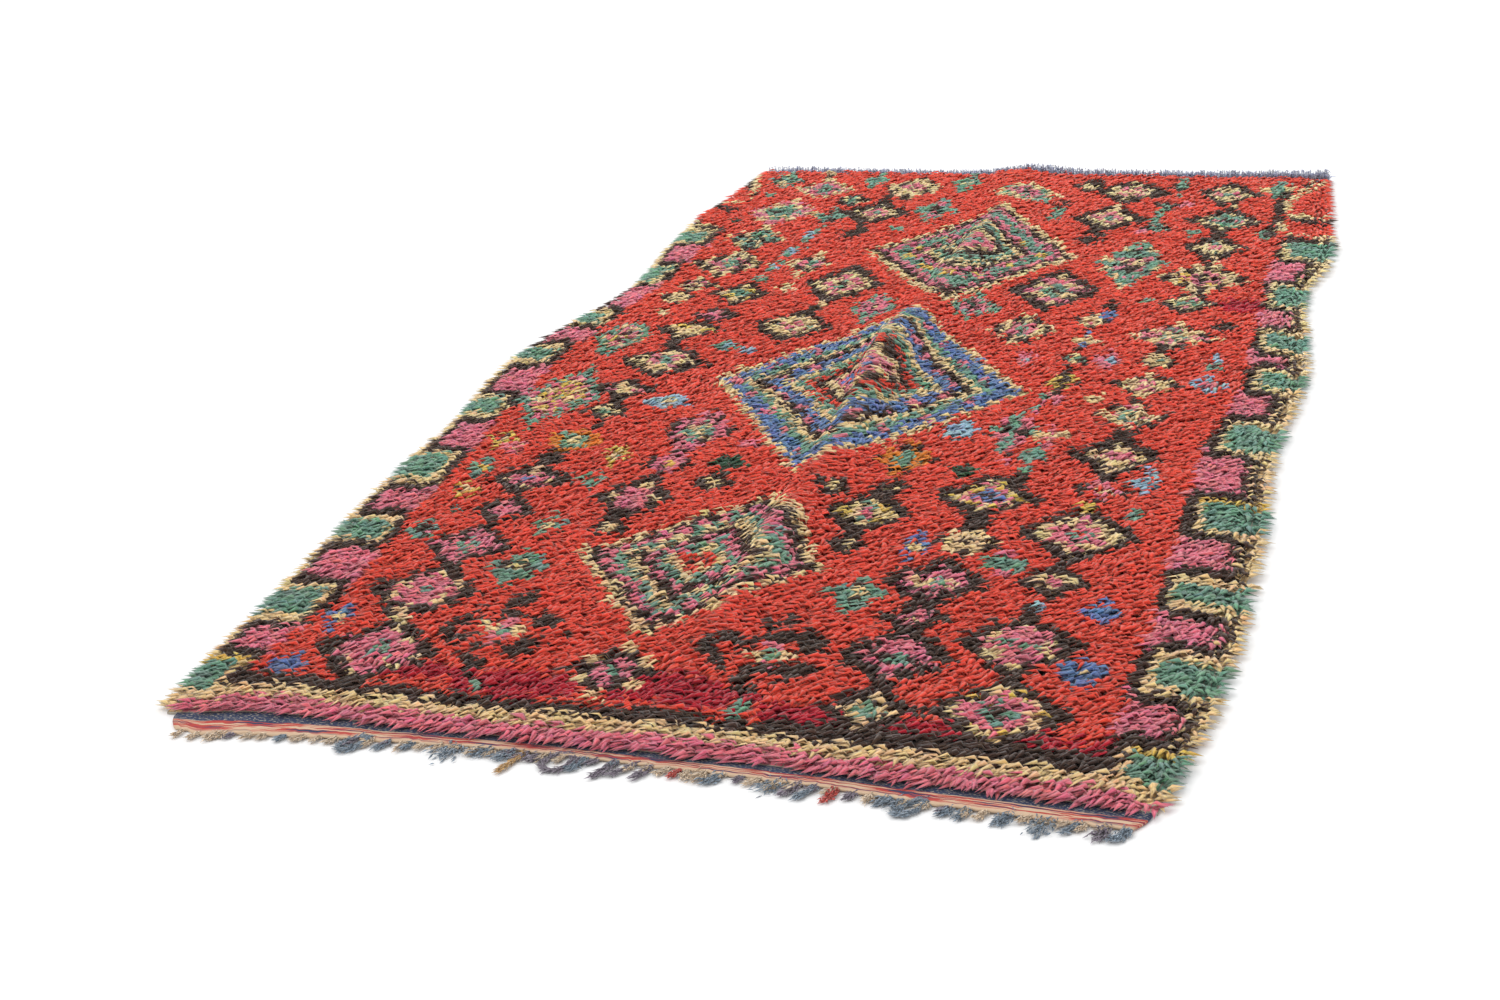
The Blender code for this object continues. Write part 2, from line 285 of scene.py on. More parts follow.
# Small lozenges, column by column from left to right:
# place across, place along, half width, half length, rings of yarn from the outside in
LOZENGES = (
    # Small companions of the large lozenges on the middle line
    (-98, -1305, 68, 90, "ck k p t"),
    (10, 1235, 80, 80, "c tc p tp k"),
    (-135, 335, 52, 105, "t pt p k c"),
    (62, 365, 46, 90, "t p k"),
    # Loose column beside the left border
    (-575, -885, 32, 42, "t k p"),
    (-575, -715, 26, 32, "y rk c"),
    (-562, -790, 14, 20, "t"),
    (-588, -625, 24, 44, "t y"),
    (-605, -490, 27, 38, "y k c"),
    (-565, -520, 20, 22, "p c"),
    (-585, -260, 78, 170, "t tp pc cy p y t"),
    (-590, 90, 62, 115, "t tc p ky c"),
    (-560, 250, 18, 30, "c"),
    (-560, 350, 36, 42, "kc c ko"),
    (-545, 440, 36, 52, "kc kp c"),
    (-525, 600, 76, 92, "kc kc p t c"),
    (-525, 795, 66, 102, "ck kt tc k t"),
    (-525, 1020, 86, 120, "cp pc t tk k"),
    (-600, 1315, 42, 78, "t ck t"),
    (-618, 935, 18, 24, "g"),
    (-600, 1170, 16, 24, "t"),
    # Chain of lozenges on the left
    (-458, -1305, 84, 98, "k cp p p t k"),
    (-473, -1108, 82, 94, "k cp p p t"),
    (-475, -935, 65, 85, "k p p t c"),
    (-476, -790, 50, 55, "k p pk"),
    (-485, -655, 70, 60, "k cp p b"),
    (-475, -475, 55, 60, "o ot t c"),
    (-470, -325, 45, 46, "k c t"),
    (-475, -205, 56, 52, "k cp c"),
    (-457, -45, 82, 78, "k c cp tp t"),
    (-468, 148, 68, 56, "k ccy c p"),
    (-442, 245, 48, 46, "k p pk"),
    (-435, 390, 60, 70, "k cy t t"),
    (-485, 1240, 78, 88, "c p tp t k"),
    (-390, 1145, 40, 52, "k tc t"),
    (-400, 995, 34, 80, "tk t k"),
    # Scattered motifs left of the middle
    (-300, -1215, 96, 112, "k.k .kk k.. pc t"),
    (-378, -842, 27, 46, "t c"),
    (-280, -705, 60, 92, "k cp p pt"),
    (-280, -835, 32, 36, "k c"),
    (-172, -620, 36, 42, "k c"),
    (-275, -550, 42, 48, "kp p y"),
    (-174, -535, 34, 46, "g g k"),
    (-160, -445, 20, 28, "p"),
    (-380, -525, 26, 46, "y c t"),
    (-380, -635, 16, 44, "t ."),
    (-270, -400, 58, 96, "kp p tc t c"),
    (-315, 45, 22, 26, "l"),
    (-365, 60, 28, 34, "t l"),
    (-267, 200, 72, 92, "k c tc p c"),
    (-238, 485, 76, 128, "k c p tc k"),
    (-347, 620, 44, 92, "ck cp t"),
    (-352, 445, 24, 30, "c t"),
    (-315, 862, 30, 32, "k"),
    (-305, 1040, 76, 92, "k c p t"),
    (-265, 1262, 62, 102, "kc c p k"),
    (-170, 1080, 46, 108, "t pt k"),
    (-146, 1325, 36, 88, "t t c"),
    (-220, 905, 22, 28, "tk"),
    (-374, 1330, 30, 80, "t tc"),
    # Column right of the middle
    (100, -1215, 100, 112, "k.k .kk k.. pc t"),
    (105, -1378, 24, 26, "tk t"),
    (110, -832, 36, 38, "k c"),
    (110, -705, 68, 88, "k cyc tc p"),
    (30, -620, 30, 40, "k c"),
    (116, -465, 58, 86, "ok o t tp"),
    (128, -595, 34, 36, "k c"),
    (216, -820, 19, 50, "b cb"),
    (226, -512, 28, 38, "g g k"),
    (184, 235, 74, 100, "ck ck cp tp t"),
    (205, 490, 86, 128, "k cp pc t k"),
    (110, 1155, 44, 38, "k. kt"),
    (60, 1185, 22, 30, "t"),
    (150, 1325, 34, 62, "k ck"),
    (253, 1280, 82, 100, "k ck kp c p"),
    (236, 1045, 78, 102, "k c p t"),
    (212, 870, 26, 30, "k"),
    (222, 62, 20, 30, "p l"),
    (335, 700, 74, 185, "ct t pt k kc p"),
    # Scattered chain on the right of the middle
    (275, -940, 74, 82, "k p pc t"),
    (270, -1065, 47, 52, "k p c"),
    (272, -1188, 74, 86, "k p pk t"),
    (270, -1345, 62, 64, "k c t t"),
    (290, -790, 54, 54, "kc c k"),
    (285, -610, 82, 80, "k cy p b k"),
    (362, -860, 30, 50, "pt t"),
    (270, -310, 46, 98, "tp tk k"),
    (340, -330, 30, 50, "pc c"),
    (326, -425, 28, 72, "t tk"),
    (315, -140, 18, 34, "p"),
    (313, -55, 24, 64, "ky kp"),
    (312, 75, 28, 34, "k ct t"),
    (316, 188, 22, 40, "bc b"),
    (310, 305, 30, 44, "kc c p"),
    (338, 350, 22, 36, "b"),
    (335, 405, 16, 30, "k"),
    (378, 78, 24, 48, "p l"),
    (385, -145, 18, 28, "c"),
    (350, 985, 32, 36, "tk t"),
    (320, 945, 20, 22, "p"),
    (346, 1170, 30, 34, "k t"),
    (390, 1185, 22, 32, "pk"),
    (360, 1335, 22, 82, "tk t"),
    (432, 945, 22, 28, "t"),
    (396, 460, 12, 24, "t"),
    # Chain of lozenges on the right
    (442, -1325, 86, 94, "k cyc p p t k"),
    (435, -1125, 82, 92, "k cp p pt t"),
    (432, -995, 18, 20, "l"),
    (446, -912, 50, 54, "k c p"),
    (450, -732, 86, 98, "k c pc p t r"),
    (460, -552, 48, 54, "k. p cp"),
    (460, -402, 68, 94, "k c cp p"),
    (456, -208, 66, 80, "k. c pc t c"),
    (462, -45, 64, 66, "ck c pc p"),
    (468, 83, 36, 48, "kc c t"),
    (480, 233, 88, 84, "ck cp pc t c"),
    (482, 440, 58, 64, "k c pt t"),
    (495, 612, 86, 102, "kc kyc p k c"),
    (490, 838, 62, 94, "k c tc p"),
    (494, 1052, 80, 94, "k c t tp k"),
    (476, 1280, 66, 98, "k c cp t"),
    # Small motifs beside the right border
    (525, -640, 16, 40, "t"),
    (568, 75, 18, 36, "t k"),
    (562, 305, 26, 34, "k"),
    (586, 955, 20, 44, "t k"),
    (586, 1335, 44, 74, "tc t"),
    # Small crosses
    (-560, -1215, 26, 42, "b c"),
    (-560, -1370, 28, 40, "b b"),
    (-365, -1000, 46, 66, "t tk c"),
    (-375, -260, 48, 46, "l l c"),
    (180, -320, 42, 50, "l l b"),
    (168, -1005, 44, 66, "t kt c"),
    (530, -1190, 38, 46, "b b c"),
    (525, -995, 30, 42, "b b"),
    (525, -510, 26, 48, "l l"),
    (570, -30, 32, 44, "l p"),
)

# Stems and hooks between the motifs: place across and along of both ends, width, yarns
STEMS = (
    (-462, -1210, -470, -1190, 22, "c"),
    (-305, -1335, -268, -1385, 15, "kt"),
    (-475, -1030, -475, -1010, 26, "k"),
    (-470, -865, -475, -835, 22, "k"),
    (-485, -580, -480, -545, 46, "k"),
    (-462, -420, -458, -395, 14, "k"),
    (-470, -280, -475, -245, 30, "k"),
    (-470, 35, -478, 95, 26, "k"),
    (-495, 1310, -505, 1390, 22, "ck"),
    (-425, 490, -405, 900, 22, "t.tl"),
    (-285, -800, -282, -765, 26, "k"),
    (-255, 300, -240, 360, 24, "kc"),
    (-330, 975, -305, 900, 22, "k"),
    (-312, 1130, -305, 1215, 26, "k"),
    (120, -620, 120, -640, 26, "k"),
    (283, -380, 286, -470, 18, "pk"),
    (296, -120, 290, -220, 12, "tp"),
    (315, -555, 320, -520, 30, "k"),
    (270, -1110, 272, -1100, 22, "k"),
    (270, -1020, 275, -1010, 22, "k"),
    (290, -735, 290, -685, 42, "k"),
    (311, 0, 311, 330, 14, "k.c."),
    (435, -1225, 435, -1210, 30, "kc"),
    (430, -1030, 430, -1010, 20, "k"),
    (443, -860, 443, -830, 22, "k"),
    (452, -640, 446, -610, 22, "y"),
    (462, -305, 462, -290, 36, "k"),
    (470, 135, 472, 160, 24, "k"),
    (568, 100, 568, 150, 10, "l"),
    (495, 500, 497, 520, 20, "k"),
    (500, 715, 500, 745, 16, "c"),
    (210, 945, 240, 905, 26, "k"),
    (245, 1140, 240, 1160, 16, "c"),
    (492, 960, 490, 900, 28, "k"),
    (500, 1130, 500, 1200, 16, "kc"),
    (110, 1030, 112, 1115, 18, "t"),
    (342, 1020, 346, 1150, 18, "t"),
    (635, 955, 745, 955, 20, "c"),
    (632, 1075, 745, 1075, 34, "k"),
    (628, 1112, 740, 1112, 22, "c"),
    (618, 985, 618, 1060, 16, "c"),
    (618, 1150, 618, 1220, 18, "c"),
    (601, 940, 601, 1300, 18, "k"),
    (614, 1220, 682, 1430, 18, "c"),
    (600, 1250, 664, 1430, 12, "k"),
    (-705, 905, -655, 905, 14, "c"),
    (-705, 1100, -645, 1100, 15, "c"),
    (-700, 1080, -650, 1020, 24, "k"),
    (-645, 1110, -640, 1190, 14, "kc"),
    (-700, 1400, -650, 1210, 16, "c"),
    (-712, 1400, -664, 1210, 14, "k"),
)

# Teal tongues of the side borders: low and high end along the rug, pale line above them
RIGHT_TONGUES = (
    (-1463, -1388, "y"),
    (-1215, -1130, "c"),
    (-945, -880, "c"),
    (-675, -575, "y"),
    (-335, -225, "c"),
    (-25, 50, "c"),
    (190, 280, "c"),
    (465, 575, "c"),
    (790, 895, "k"),
)
LEFT_TONGUES = (
    (-1455, -1380, "y"),
    (-1215, -1130, "c"),
    (-935, -865, "c"),
    (-680, -580, "c"),
    (-365, -290, "c"),
    (-60, 0, "c"),
    (175, 232, "c"),
    (465, 558, "c"),
    (765, 840, "c"),
)
BORDER_TOP = 0.940
# Inner ends of the teal tongues: place along the rug, place across on the left, on the right
TONGUE_STARTS = (
    (-1450, -640, 620),
    (-1170, -618, 624),
    (-900, -638, 624),
    (-630, -658, 624),
    (-330, -682, 628),
    (-30, -694, 655),
    (200, -674, 655),
    (500, -645, 648),
    (900, -645, 648),
)
TONGUE_CREAM = 0.021
TONGUE_BLACK = 0.050
END_NARROWING = 1.8
# Between the tongues: how far pink runs into the field, then cream and black along the edge
RIGHT_EDGE_LINES = (0.028, 0.034, 0.052)
LEFT_EDGE_LINES = (0.026, 0.010, 0.022)
# Unevenness of the motifs' sides, and of the deep patches
MOTIF_DRIFT = 0.0015
PATCH_RAGGEDNESS = 0.15
# A black outline is filled this far out, as a share of the motif's size
OUTLINE_REACH = 1.16
LEAST_STEPS = 0.75
# Length of one colour of a stem
STEM_COLOUR_RUN = 0.03
# How much lower along the rug the lying pile shows its pattern: at the middle, more for each metre
PATTERN_SLIP = (0.010, 0.003)
# How much lighter the yarns grow towards the far end, for each metre along the rug, in red, green
# and blue
FAR_END_LIGHTENING = (0.070, 0.110, 0.110)

# Bands across the near end of the pile, in millimetres: how far they reach in from it, left and
# right ends, yarn
CREAM_BAND_REACH = 68
END_BANDS = (
    (97, -632, 600, "k"),
    (111, 150, 600, "k"),
    (CREAM_BAND_REACH, -1000, 1000, "c"),
    (40, -1000, 1000, "p"),
)

# Patches of deeper red in the field, in millimetres: place, half width, half length, yarn
DEEP_PATCHES = (
    (-360, -1350, 70, 24, "d"),
    (-220, -1365, 90, 40, "d"),
    (20, -1350, 110, 45, "d"),
    (180, -1375, 60, 25, "d"),
    (400, -1390, 210, 26, "d"),
    (590, 440, 45, 40, "d"),
)


# Lamp and floor
LAMP_PLACE = (-2.4, -1.2, 4.0)
FLOOR_SIZE = 60
FLOOR_DROP = 0.0005
FLOOR_PAINT = (0.88, 0.88, 0.88, 1)


def srgb(code):
    """A colour from its six-digit screen code, as linear values."""
    channels = np.array([int(code[place:place + 2], 16) for place in (0, 2, 4)]) / 255
    linear = np.where(channels <= 0.04045, channels / 12.92, ((channels + 0.055) / 1.055) ** 2.4)
    return tuple(float(value) for value in linear)


def yarn_property(name, code, about):
    return FloatVectorProperty(
        name=name, description=about, subtype="COLOR", size=3, min=0, max=1, default=srgb(code)
    )


def length_property(name, default, about):
    return FloatProperty(name=name, description=about, default=default, unit="LENGTH")


def angle_property(name, default, about):
    return FloatProperty(name=name, description=about, default=default, subtype="ANGLE")


def count_property(name, default, least, about):
    return IntProperty(name=name, description=about, default=default, min=least)


def strength_property(name, default, about):
    return FloatProperty(name=name, description=about, default=default, min=0)


class RugYarns(bpy.types.PropertyGroup):
    """Colours of the rags and yarns."""

    red: yarn_property("Red", "DE4735", "Orange-red of the field")
    crimson: yarn_property("Crimson", "AC1C2C", "Deeper red patches of the field")
    black: yarn_property("Black", "3F2E26", "Outlines and stems")
    cream: yarn_property("Cream", "E7C48E", "Outlines beside the black")
    pink: yarn_property("Pink", "DC7382", "Tongues, end band and rings")
    teal: yarn_property("Teal", "6D9580", "Tongues and rings")
    blue: yarn_property("Blue", "6079A8", "Rings of the middle lozenge")
    yellow: yarn_property("Yellow", "DBB356", "Single bright knots")
    orange: yarn_property("Orange", "DC7A2C", "Single bright knots")
    dusty: yarn_property("Dusty pink", "C98480", "Faded knots")
    green: yarn_property("Dark green", "2E4A35", "Single dark knots")
    sky: yarn_property("Sky blue", "8FB0C2", "Small crosses")
    fringe: yarn_property("Fringe blue", "A6AED0", "Teased yarn of the far fringe")
    torn: yarn_property("Torn ends", "6E7B88", "Grey-blue rags at the near end")
    mauve: yarn_property("Mauve", "6E6470", "Purple-grey rags at the near end")
    straw: yarn_property("Straw", "B98D5A", "One tan end of the warp")
    brick: yarn_property("Brick", "B0413A", "Red picks of the flat weave")
    ecru: yarn_property("Ecru", "C9AE92", "Pale picks and frayed edge of the flat weave")
    navy: yarn_property("Navy", "2C3855", "First picks of the flat weave")
    warp: yarn_property("Warp", "A59D8E", "Wool of the ground cloth")


class RugPile(bpy.types.PropertyGroup):
    """Sizes of the knots, their leaves of rag and the ground cloth."""

    columns: count_property("Columns", 139, 10, "Knots across the rug")
    rows: count_property("Rows", 200, 10, "Knots along the rug")
    bands: count_property("Bands", 5, 1, "Separate pieces that the pile is made in")
    leaf_length: length_property("Leaf length", 0.034, "Length of one torn leaf")
    leaf_width: length_property("Leaf width", 0.0102, "Width of one torn leaf")
    lean: angle_property("Lean", math.radians(67), "How far the leaves lean over")
    ground_thickness: length_property("Ground thickness", 0.0030, "Thickness of the ground cloth")


class RugFringe(bpy.types.PropertyGroup):
    """Counts and sizes of the flat weave and the loose yarns at both ends."""

    weave_columns: count_property("Weave columns", 200, 4, "Warps of the flat weave in its grid")
    weave_rows: count_property("Weave rows", 12, 2, "Picks of the flat weave in its grid")
    weave_thickness: length_property("Weave thickness", 0.0028, "Thickness of the flat weave")
    tufts: count_property("Torn ends", 84, 1, "Tufts and loops along the near end")
    fibres: count_property("Fibres", 64, 1, "Fibres of a tuft 20 mm long")
    fibre_width: length_property("Fibre width", 0.0027, "Width of one fibre")
    wisps: count_property("Wisps", 5200, 1, "Wisps of the far fringe")
    wisp_length: length_property("Wisp length", 0.040, "Length of one wisp")
    wisp_width: length_property("Wisp width", 0.0028, "Width of one wisp")
    wisp_lean: angle_property("Wisp lean", math.radians(34), "How far the wisps lean outwards")


class RugStage(bpy.types.PropertyGroup):
    """The camera's place over the floor and the strength of the light."""

    eye_height: length_property("Eye height", 1.3893, "Camera above the floor")
    eye_across: length_property("Eye across", 0.9507, "Camera right of the rug's middle")
    eye_along: length_property("Eye along", -3.8558, "Camera before the rug's middle")
    pitch: angle_property("Pitch", 0.38946, "Camera's tilt below level")
    yaw: angle_property("Yaw", 0.31471, "Camera's turn to the left")
    roll: angle_property("Roll", -0.05665, "Camera's roll")
    lens: FloatProperty(
        name="Lens", description="Focal length on a 36 mm sensor", default=53.67,
        subtype="DISTANCE_CAMERA",
    )
    daylight: strength_property("Daylight", 1.00, "Strength of the soft light all round")
    overhead: strength_property("Overhead light", 1.10, "Strength of the light from above")
    overhead_spread: angle_property(
        "Overhead spread", math.radians(55), "Width of the light from above, which softens shadows"
    )


def yarn_colours(yarns):
    """The chart's colours in the order of their letters."""
    names = (
        "red", "crimson", "black", "cream", "pink", "teal",
        "blue", "yellow", "orange", "dusty", "green", "sky",
    )
    return np.array([getattr(yarns, name)[:] for name in names])


def in_metres(rows):
    """The rows of a table in millimetres, with their lengths in metres and their words kept."""
    return [[cell if isinstance(cell, str) else cell / 1000 for cell in row] for row in rows]


def read_table(rows, along, column):
    """A table's column at some places, with the corners between its rows rounded."""
    table = np.array(rows) / 1000
    readings = [
        np.interp(along + offset, table[:, 0], table[:, column]) for offset in TABLE_SOFTENING
    ]
    return np.mean(readings, axis=0)


def fold_rise(across, along):
    """How far the ground cloth stands off the floor."""
    crest = read_table(FOLD_CREST, along, 1)
    from_crest = across - read_table(FOLD_CREST, along, 2)
    spread = 1.0 + (from_crest / read_table(FOLD_CREST, along, 3)) ** 2
    return np.maximum(0.0, crest / spread ** FOLD_SHARPNESS - PRESSED_FLAT)


def fold_normals(across, along):
    """Upward normals of the ground cloth."""
    step = 0.004
    slope_x = (fold_rise(across + step, along) - fold_rise(across - step, along)) / (2 * step)
    slope_y = (fold_rise(across, along + step) - fold_rise(across, along - step)) / (2 * step)
    normals = np.stack([-slope_x, -slope_y, np.ones_like(across)], axis=-1)
    return normals / np.linalg.norm(normals, axis=-1, keepdims=True)


def ground_edges(along):
    """Left and right edges of the ground cloth under the pile."""
    left = read_table(LONG_EDGES, along, 1) + RIM_REACH
    right = read_table(LONG_EDGES, along, 2) - RIM_REACH
    return left, right


def row_shift(across, along):
    """How far a row strays along the rug: askew at both ends, and sagging at the near corners."""
    far_share = (along - NEAR_END) / (FAR_END - NEAR_END)
    slope = NEAR_END_SLOPE * (1 - far_share) + FAR_END_SLOPE * far_share
    sag = read_table(NEAR_SAG, across, 1) * np.exp((NEAR_END - along) / NEAR_SAG_REACH)
    return slope * across + sag


def askew(across, along):
    """The place along the rug of a row, once it has strayed."""
    return along + row_shift(across, along)


def patchy(across, along, size, seed):
    """Smooth unevenness from -1 to 1, in patches of a size."""
    rng = np.random.default_rng(seed)
    lattice = rng.uniform(-1, 1, (96, 96))
    x = across / size + 48.0
    y = along / size + 48.0
    column = np.clip(np.floor(x).astype(int), 0, 94)
    row = np.clip(np.floor(y).astype(int), 0, 94)
    u = np.clip(x - column, 0, 1)
    v = np.clip(y - row, 0, 1)
    u = u * u * (3 - 2 * u)
    v = v * v * (3 - 2 * v)
    low = lattice[row, column] * (1 - u) + lattice[row, column + 1] * u
    high = lattice[row + 1, column] * (1 - u) + lattice[row + 1, column + 1] * u
    return low * (1 - v) + high * v


def unit(vectors):
    return vectors / np.maximum(np.linalg.norm(vectors, axis=-1, keepdims=True), 1e-9)


def cloth_places(column_shares, row_shares):
    """Places over the cloth: shares of its width walked over the fold, and of its length."""
    across_all = []
    along_all = []
    first_row = NEAR_END + ROOT_MARGIN
    for share in row_shares:
        along = first_row + share * (FAR_END - first_row)
        left, right = ground_edges(along)
        samples = np.linspace(left, right, 600)
        rises = fold_rise(samples, askew(samples, along))
        walked = np.concatenate([[0.0], np.cumsum(np.hypot(np.diff(samples), np.diff(rises)))])
        across = np.interp(column_shares * walked[-1], walked, samples)
        across_all.append(across)
        along_all.append(askew(across, along))
    return np.array(across_all), np.array(along_all)


def knot_places(pile):
    """Every knot's place: columns evenly spaced over the fold, rows evenly along the rug."""
    column_shares = (np.arange(pile.columns) + 0.5) / pile.columns
    row_shares = (np.arange(pile.rows) + 0.5) / pile.rows
    return cloth_places(column_shares, row_shares)


def letters_to_yarns(letters):
    return np.array([YARN_LETTERS.find(letter) for letter in letters])


def stepped_motif(rings, off_across, off_along, wide, long):
    """The yarn of each knot of a motif stepped in squares, ring by ring from the outside in."""
    steps = max(len(rings) - 0.5, LEAST_STEPS)
    column = np.round(off_across / wide * steps).astype(int)
    row = np.round(off_along / long * steps).astype(int)
    ring = len(rings) - 1 - np.abs(column) - np.abs(row)
    if rings[0].startswith("k"):
        share = np.abs(off_across) / wide + np.abs(off_along) / long
        ring = np.where(share < OUTLINE_REACH, np.maximum(ring, 0), ring)
    yarn = np.full(ring.shape, -1)
    for number, letters in enumerate(rings):
        pick = letters_to_yarns(letters)
        here = ring == number
        yarn[here] = pick[column[here] % len(letters)]
    return yarn


def charted_yarns(across, along, rng):
    """The weaver's chart: the yarn of each knot, as a place in YARN_LETTERS."""
    yarn = np.zeros(across.shape, int)
    ragged = rng.standard_normal(across.shape)
    drifted = across + MOTIF_DRIFT * ragged
    from_end = along - row_shift(across, along) - NEAR_END
    along = along - PATTERN_SLIP[0] - PATTERN_SLIP[1] * along

    def paint(index):
        kept = index >= 0
        yarn[kept] = index[kept]

    for x, y, wide, long, letter in in_metres(DEEP_PATCHES):
        share = np.hypot((across - x) / wide, (along - y) / long) + PATCH_RAGGEDNESS * ragged
        yarn[share < 1] = YARN_LETTERS.find(letter)
    for x, y, left, right, near, far, step, rings in in_metres(LARGE_LOZENGES):
        off_middle = drifted - x - step * np.clip((along - y) / far, 0, 1)
        wide = np.where(off_middle < 0, left, right)
        long = np.where(along < y, near, far)
        paint(stepped_motif(rings.split(), off_middle, along - y, wide, long))
    for x, y, wide, long, rings in in_metres(LOZENGES):
        paint(stepped_motif(rings.split(), drifted - x, along - y, wide, long))
    for reach, left, right, letter in in_metres(END_BANDS):
        in_band = (from_end < reach) & (across > left) & (across < right)
        yarn[in_band] = YARN_LETTERS.find(letter)
    paint_borders(across, along, yarn, from_end < CREAM_BAND_REACH / 1000)
    for x0, y0, x1, y1, wide, letters in in_metres(STEMS):
        run = np.array((x1 - x0, y1 - y0))
        offset = np.stack([across - x0, along - y0], axis=-1)
        share = np.clip(offset @ run / (run @ run), 0, 1)
        apart = np.linalg.norm(offset - share[..., None] * run, axis=-1)
        turn = (share * np.linalg.norm(run) / STEM_COLOUR_RUN).astype(int) % len(letters)
        paint(np.where(apart < wide / 2, letters_to_yarns(letters)[turn], -1))
    return yarn


def paint_borders(across, along, yarn, in_end_bands):
    """Tongues of teal and pink along both long sides, outlined in cream and black."""
    red, black, cream, pink, teal = letters_to_yarns("rkcpt")
    left_edge = read_table(LONG_EDGES, along, 1)
    right_edge = read_table(LONG_EDGES, along, 2)
    left_start = read_table(TONGUE_STARTS, along, 1)
    right_start = read_table(TONGUE_STARTS, along, 2)
    sides = (
        (RIGHT_TONGUES, right_start - across, right_edge - across, RIGHT_EDGE_LINES),
        (LEFT_TONGUES, across - left_start, across - left_edge, LEFT_EDGE_LINES),
    )
    for tongues, short_of_start, from_edge, (field_side, edge_cream, edge_black) in sides:
        tongues = in_metres(tongues)
        apart = np.full(across.shape, np.inf)
        pale = np.full(across.shape, cream)
        inward = END_NARROWING * np.maximum(short_of_start, 0.0)
        for low, high, letter in tongues:
            over = np.maximum(np.maximum(low - along, along - high), 0.0)
            apart = np.minimum(apart, np.hypot(over, inward))
            pale[(along > high) & (along < high + TONGUE_BLACK)] = YARN_LETTERS.find(letter)
        inside = (along > tongues[0][0] - TONGUE_BLACK) & (along < BORDER_TOP) & ~in_end_bands
        between = inside & (short_of_start < field_side) & (apart >= TONGUE_BLACK)
        yarn[between] = pink
        yarn[between & (along > tongues[-1][1])] = red
        yarn[between & (from_edge < edge_black)] = black
        yarn[between & (from_edge < edge_cream)] = cream
        outline = inside & (apart < TONGUE_BLACK)
        yarn[outline] = black
        yarn[outline & (from_edge < edge_cream)] = cream
        outline = inside & (apart < TONGUE_CREAM)
        yarn[outline] = pale[outline]
        yarn[inside & (apart <= 0.0)] = teal


def merge_ring(piece, height):
    """Draw one ring of points together into a tip."""
    for vert in piece.data.vertices:
        vert.select = abs(vert.co.z - height) < 0.01
    bpy.ops.object.mode_set(mode="EDIT")
    bpy.ops.mesh.merge(type="CENTER")
    bpy.ops.object.mode_set(mode="OBJECT")


def model_leaf():
    """Model one leaf of torn rag: three sides, its ridge up, drawn to a point at both ends."""
    bpy.ops.object.select_all(action="DESELECT")
    bpy.ops.mesh.primitive_cylinder_add(vertices=3, radius=1, depth=1, location=(0, 0, 0.5))
    bpy.ops.object.transform_apply(location=True)
    leaf = bpy.context.object
    bpy.ops.object.mode_set(mode="EDIT")
    bpy.ops.mesh.select_all(action="SELECT")
    bpy.ops.mesh.bisect(plane_co=(0, 0, LEAF_REACHES[1]), plane_no=(0, 0, 1))
    bpy.ops.mesh.select_mode(type="VERT")
    bpy.ops.mesh.select_all(action="DESELECT")
    bpy.ops.object.mode_set(mode="OBJECT")
    merge_ring(leaf, 0.0)
    merge_ring(leaf, 1.0)
    mesh = leaf.data
    points = np.array([vert.co for vert in mesh.vertices])
    faces = [tuple(face.vertices) for face in mesh.polygons]
    flat = np.array([mesh.uv_layers[0].uv[loop.index].vector for loop in mesh.loops])
    bpy.data.objects.remove(leaf)
    return points, faces, flat


def lay_leaves(template, roots, rise, over, normals, widths, flatness, twist, curl):
    """Bend the modelled leaf along every spine: up from its root, over its crest, to its tip."""
    points = template[0]
    reach = points[:, 2]
    up_share = np.interp(reach, LEAF_REACHES, LEAF_RISES)[None, :, None]
    over_share = np.interp(reach, LEAF_REACHES, LEAF_LEANS)[None, :, None]
    forward = unit(over)
    across = unit(np.cross(forward, normals))
    upward = np.cross(across, forward)
    aside = across[:, None, :] * (curl * widths)[:, None, None] * (reach ** 2)[None, :, None]
    spine = roots[:, None, :] + rise[:, None, :] * up_share + over[:, None, :] * over_share + aside
    cos, sin = np.cos(twist)[:, None], np.sin(twist)[:, None]
    wide_way = across * cos + upward * sin
    thin_way = upward * cos - across * sin
    wide = points[None, :, 0] * widths[:, None] / 2
    thin = points[None, :, 1] * (widths * flatness)[:, None] / 2
    return spine + wide_way[:, None, :] * wide[..., None] + thin_way[:, None, :] * thin[..., None]


def shift_to_part(points):
    """From places on the rug to the part's own frame."""
    return points - np.array((FLOOR_MIDDLE[0], FLOOR_MIDDLE[1], 0.0))


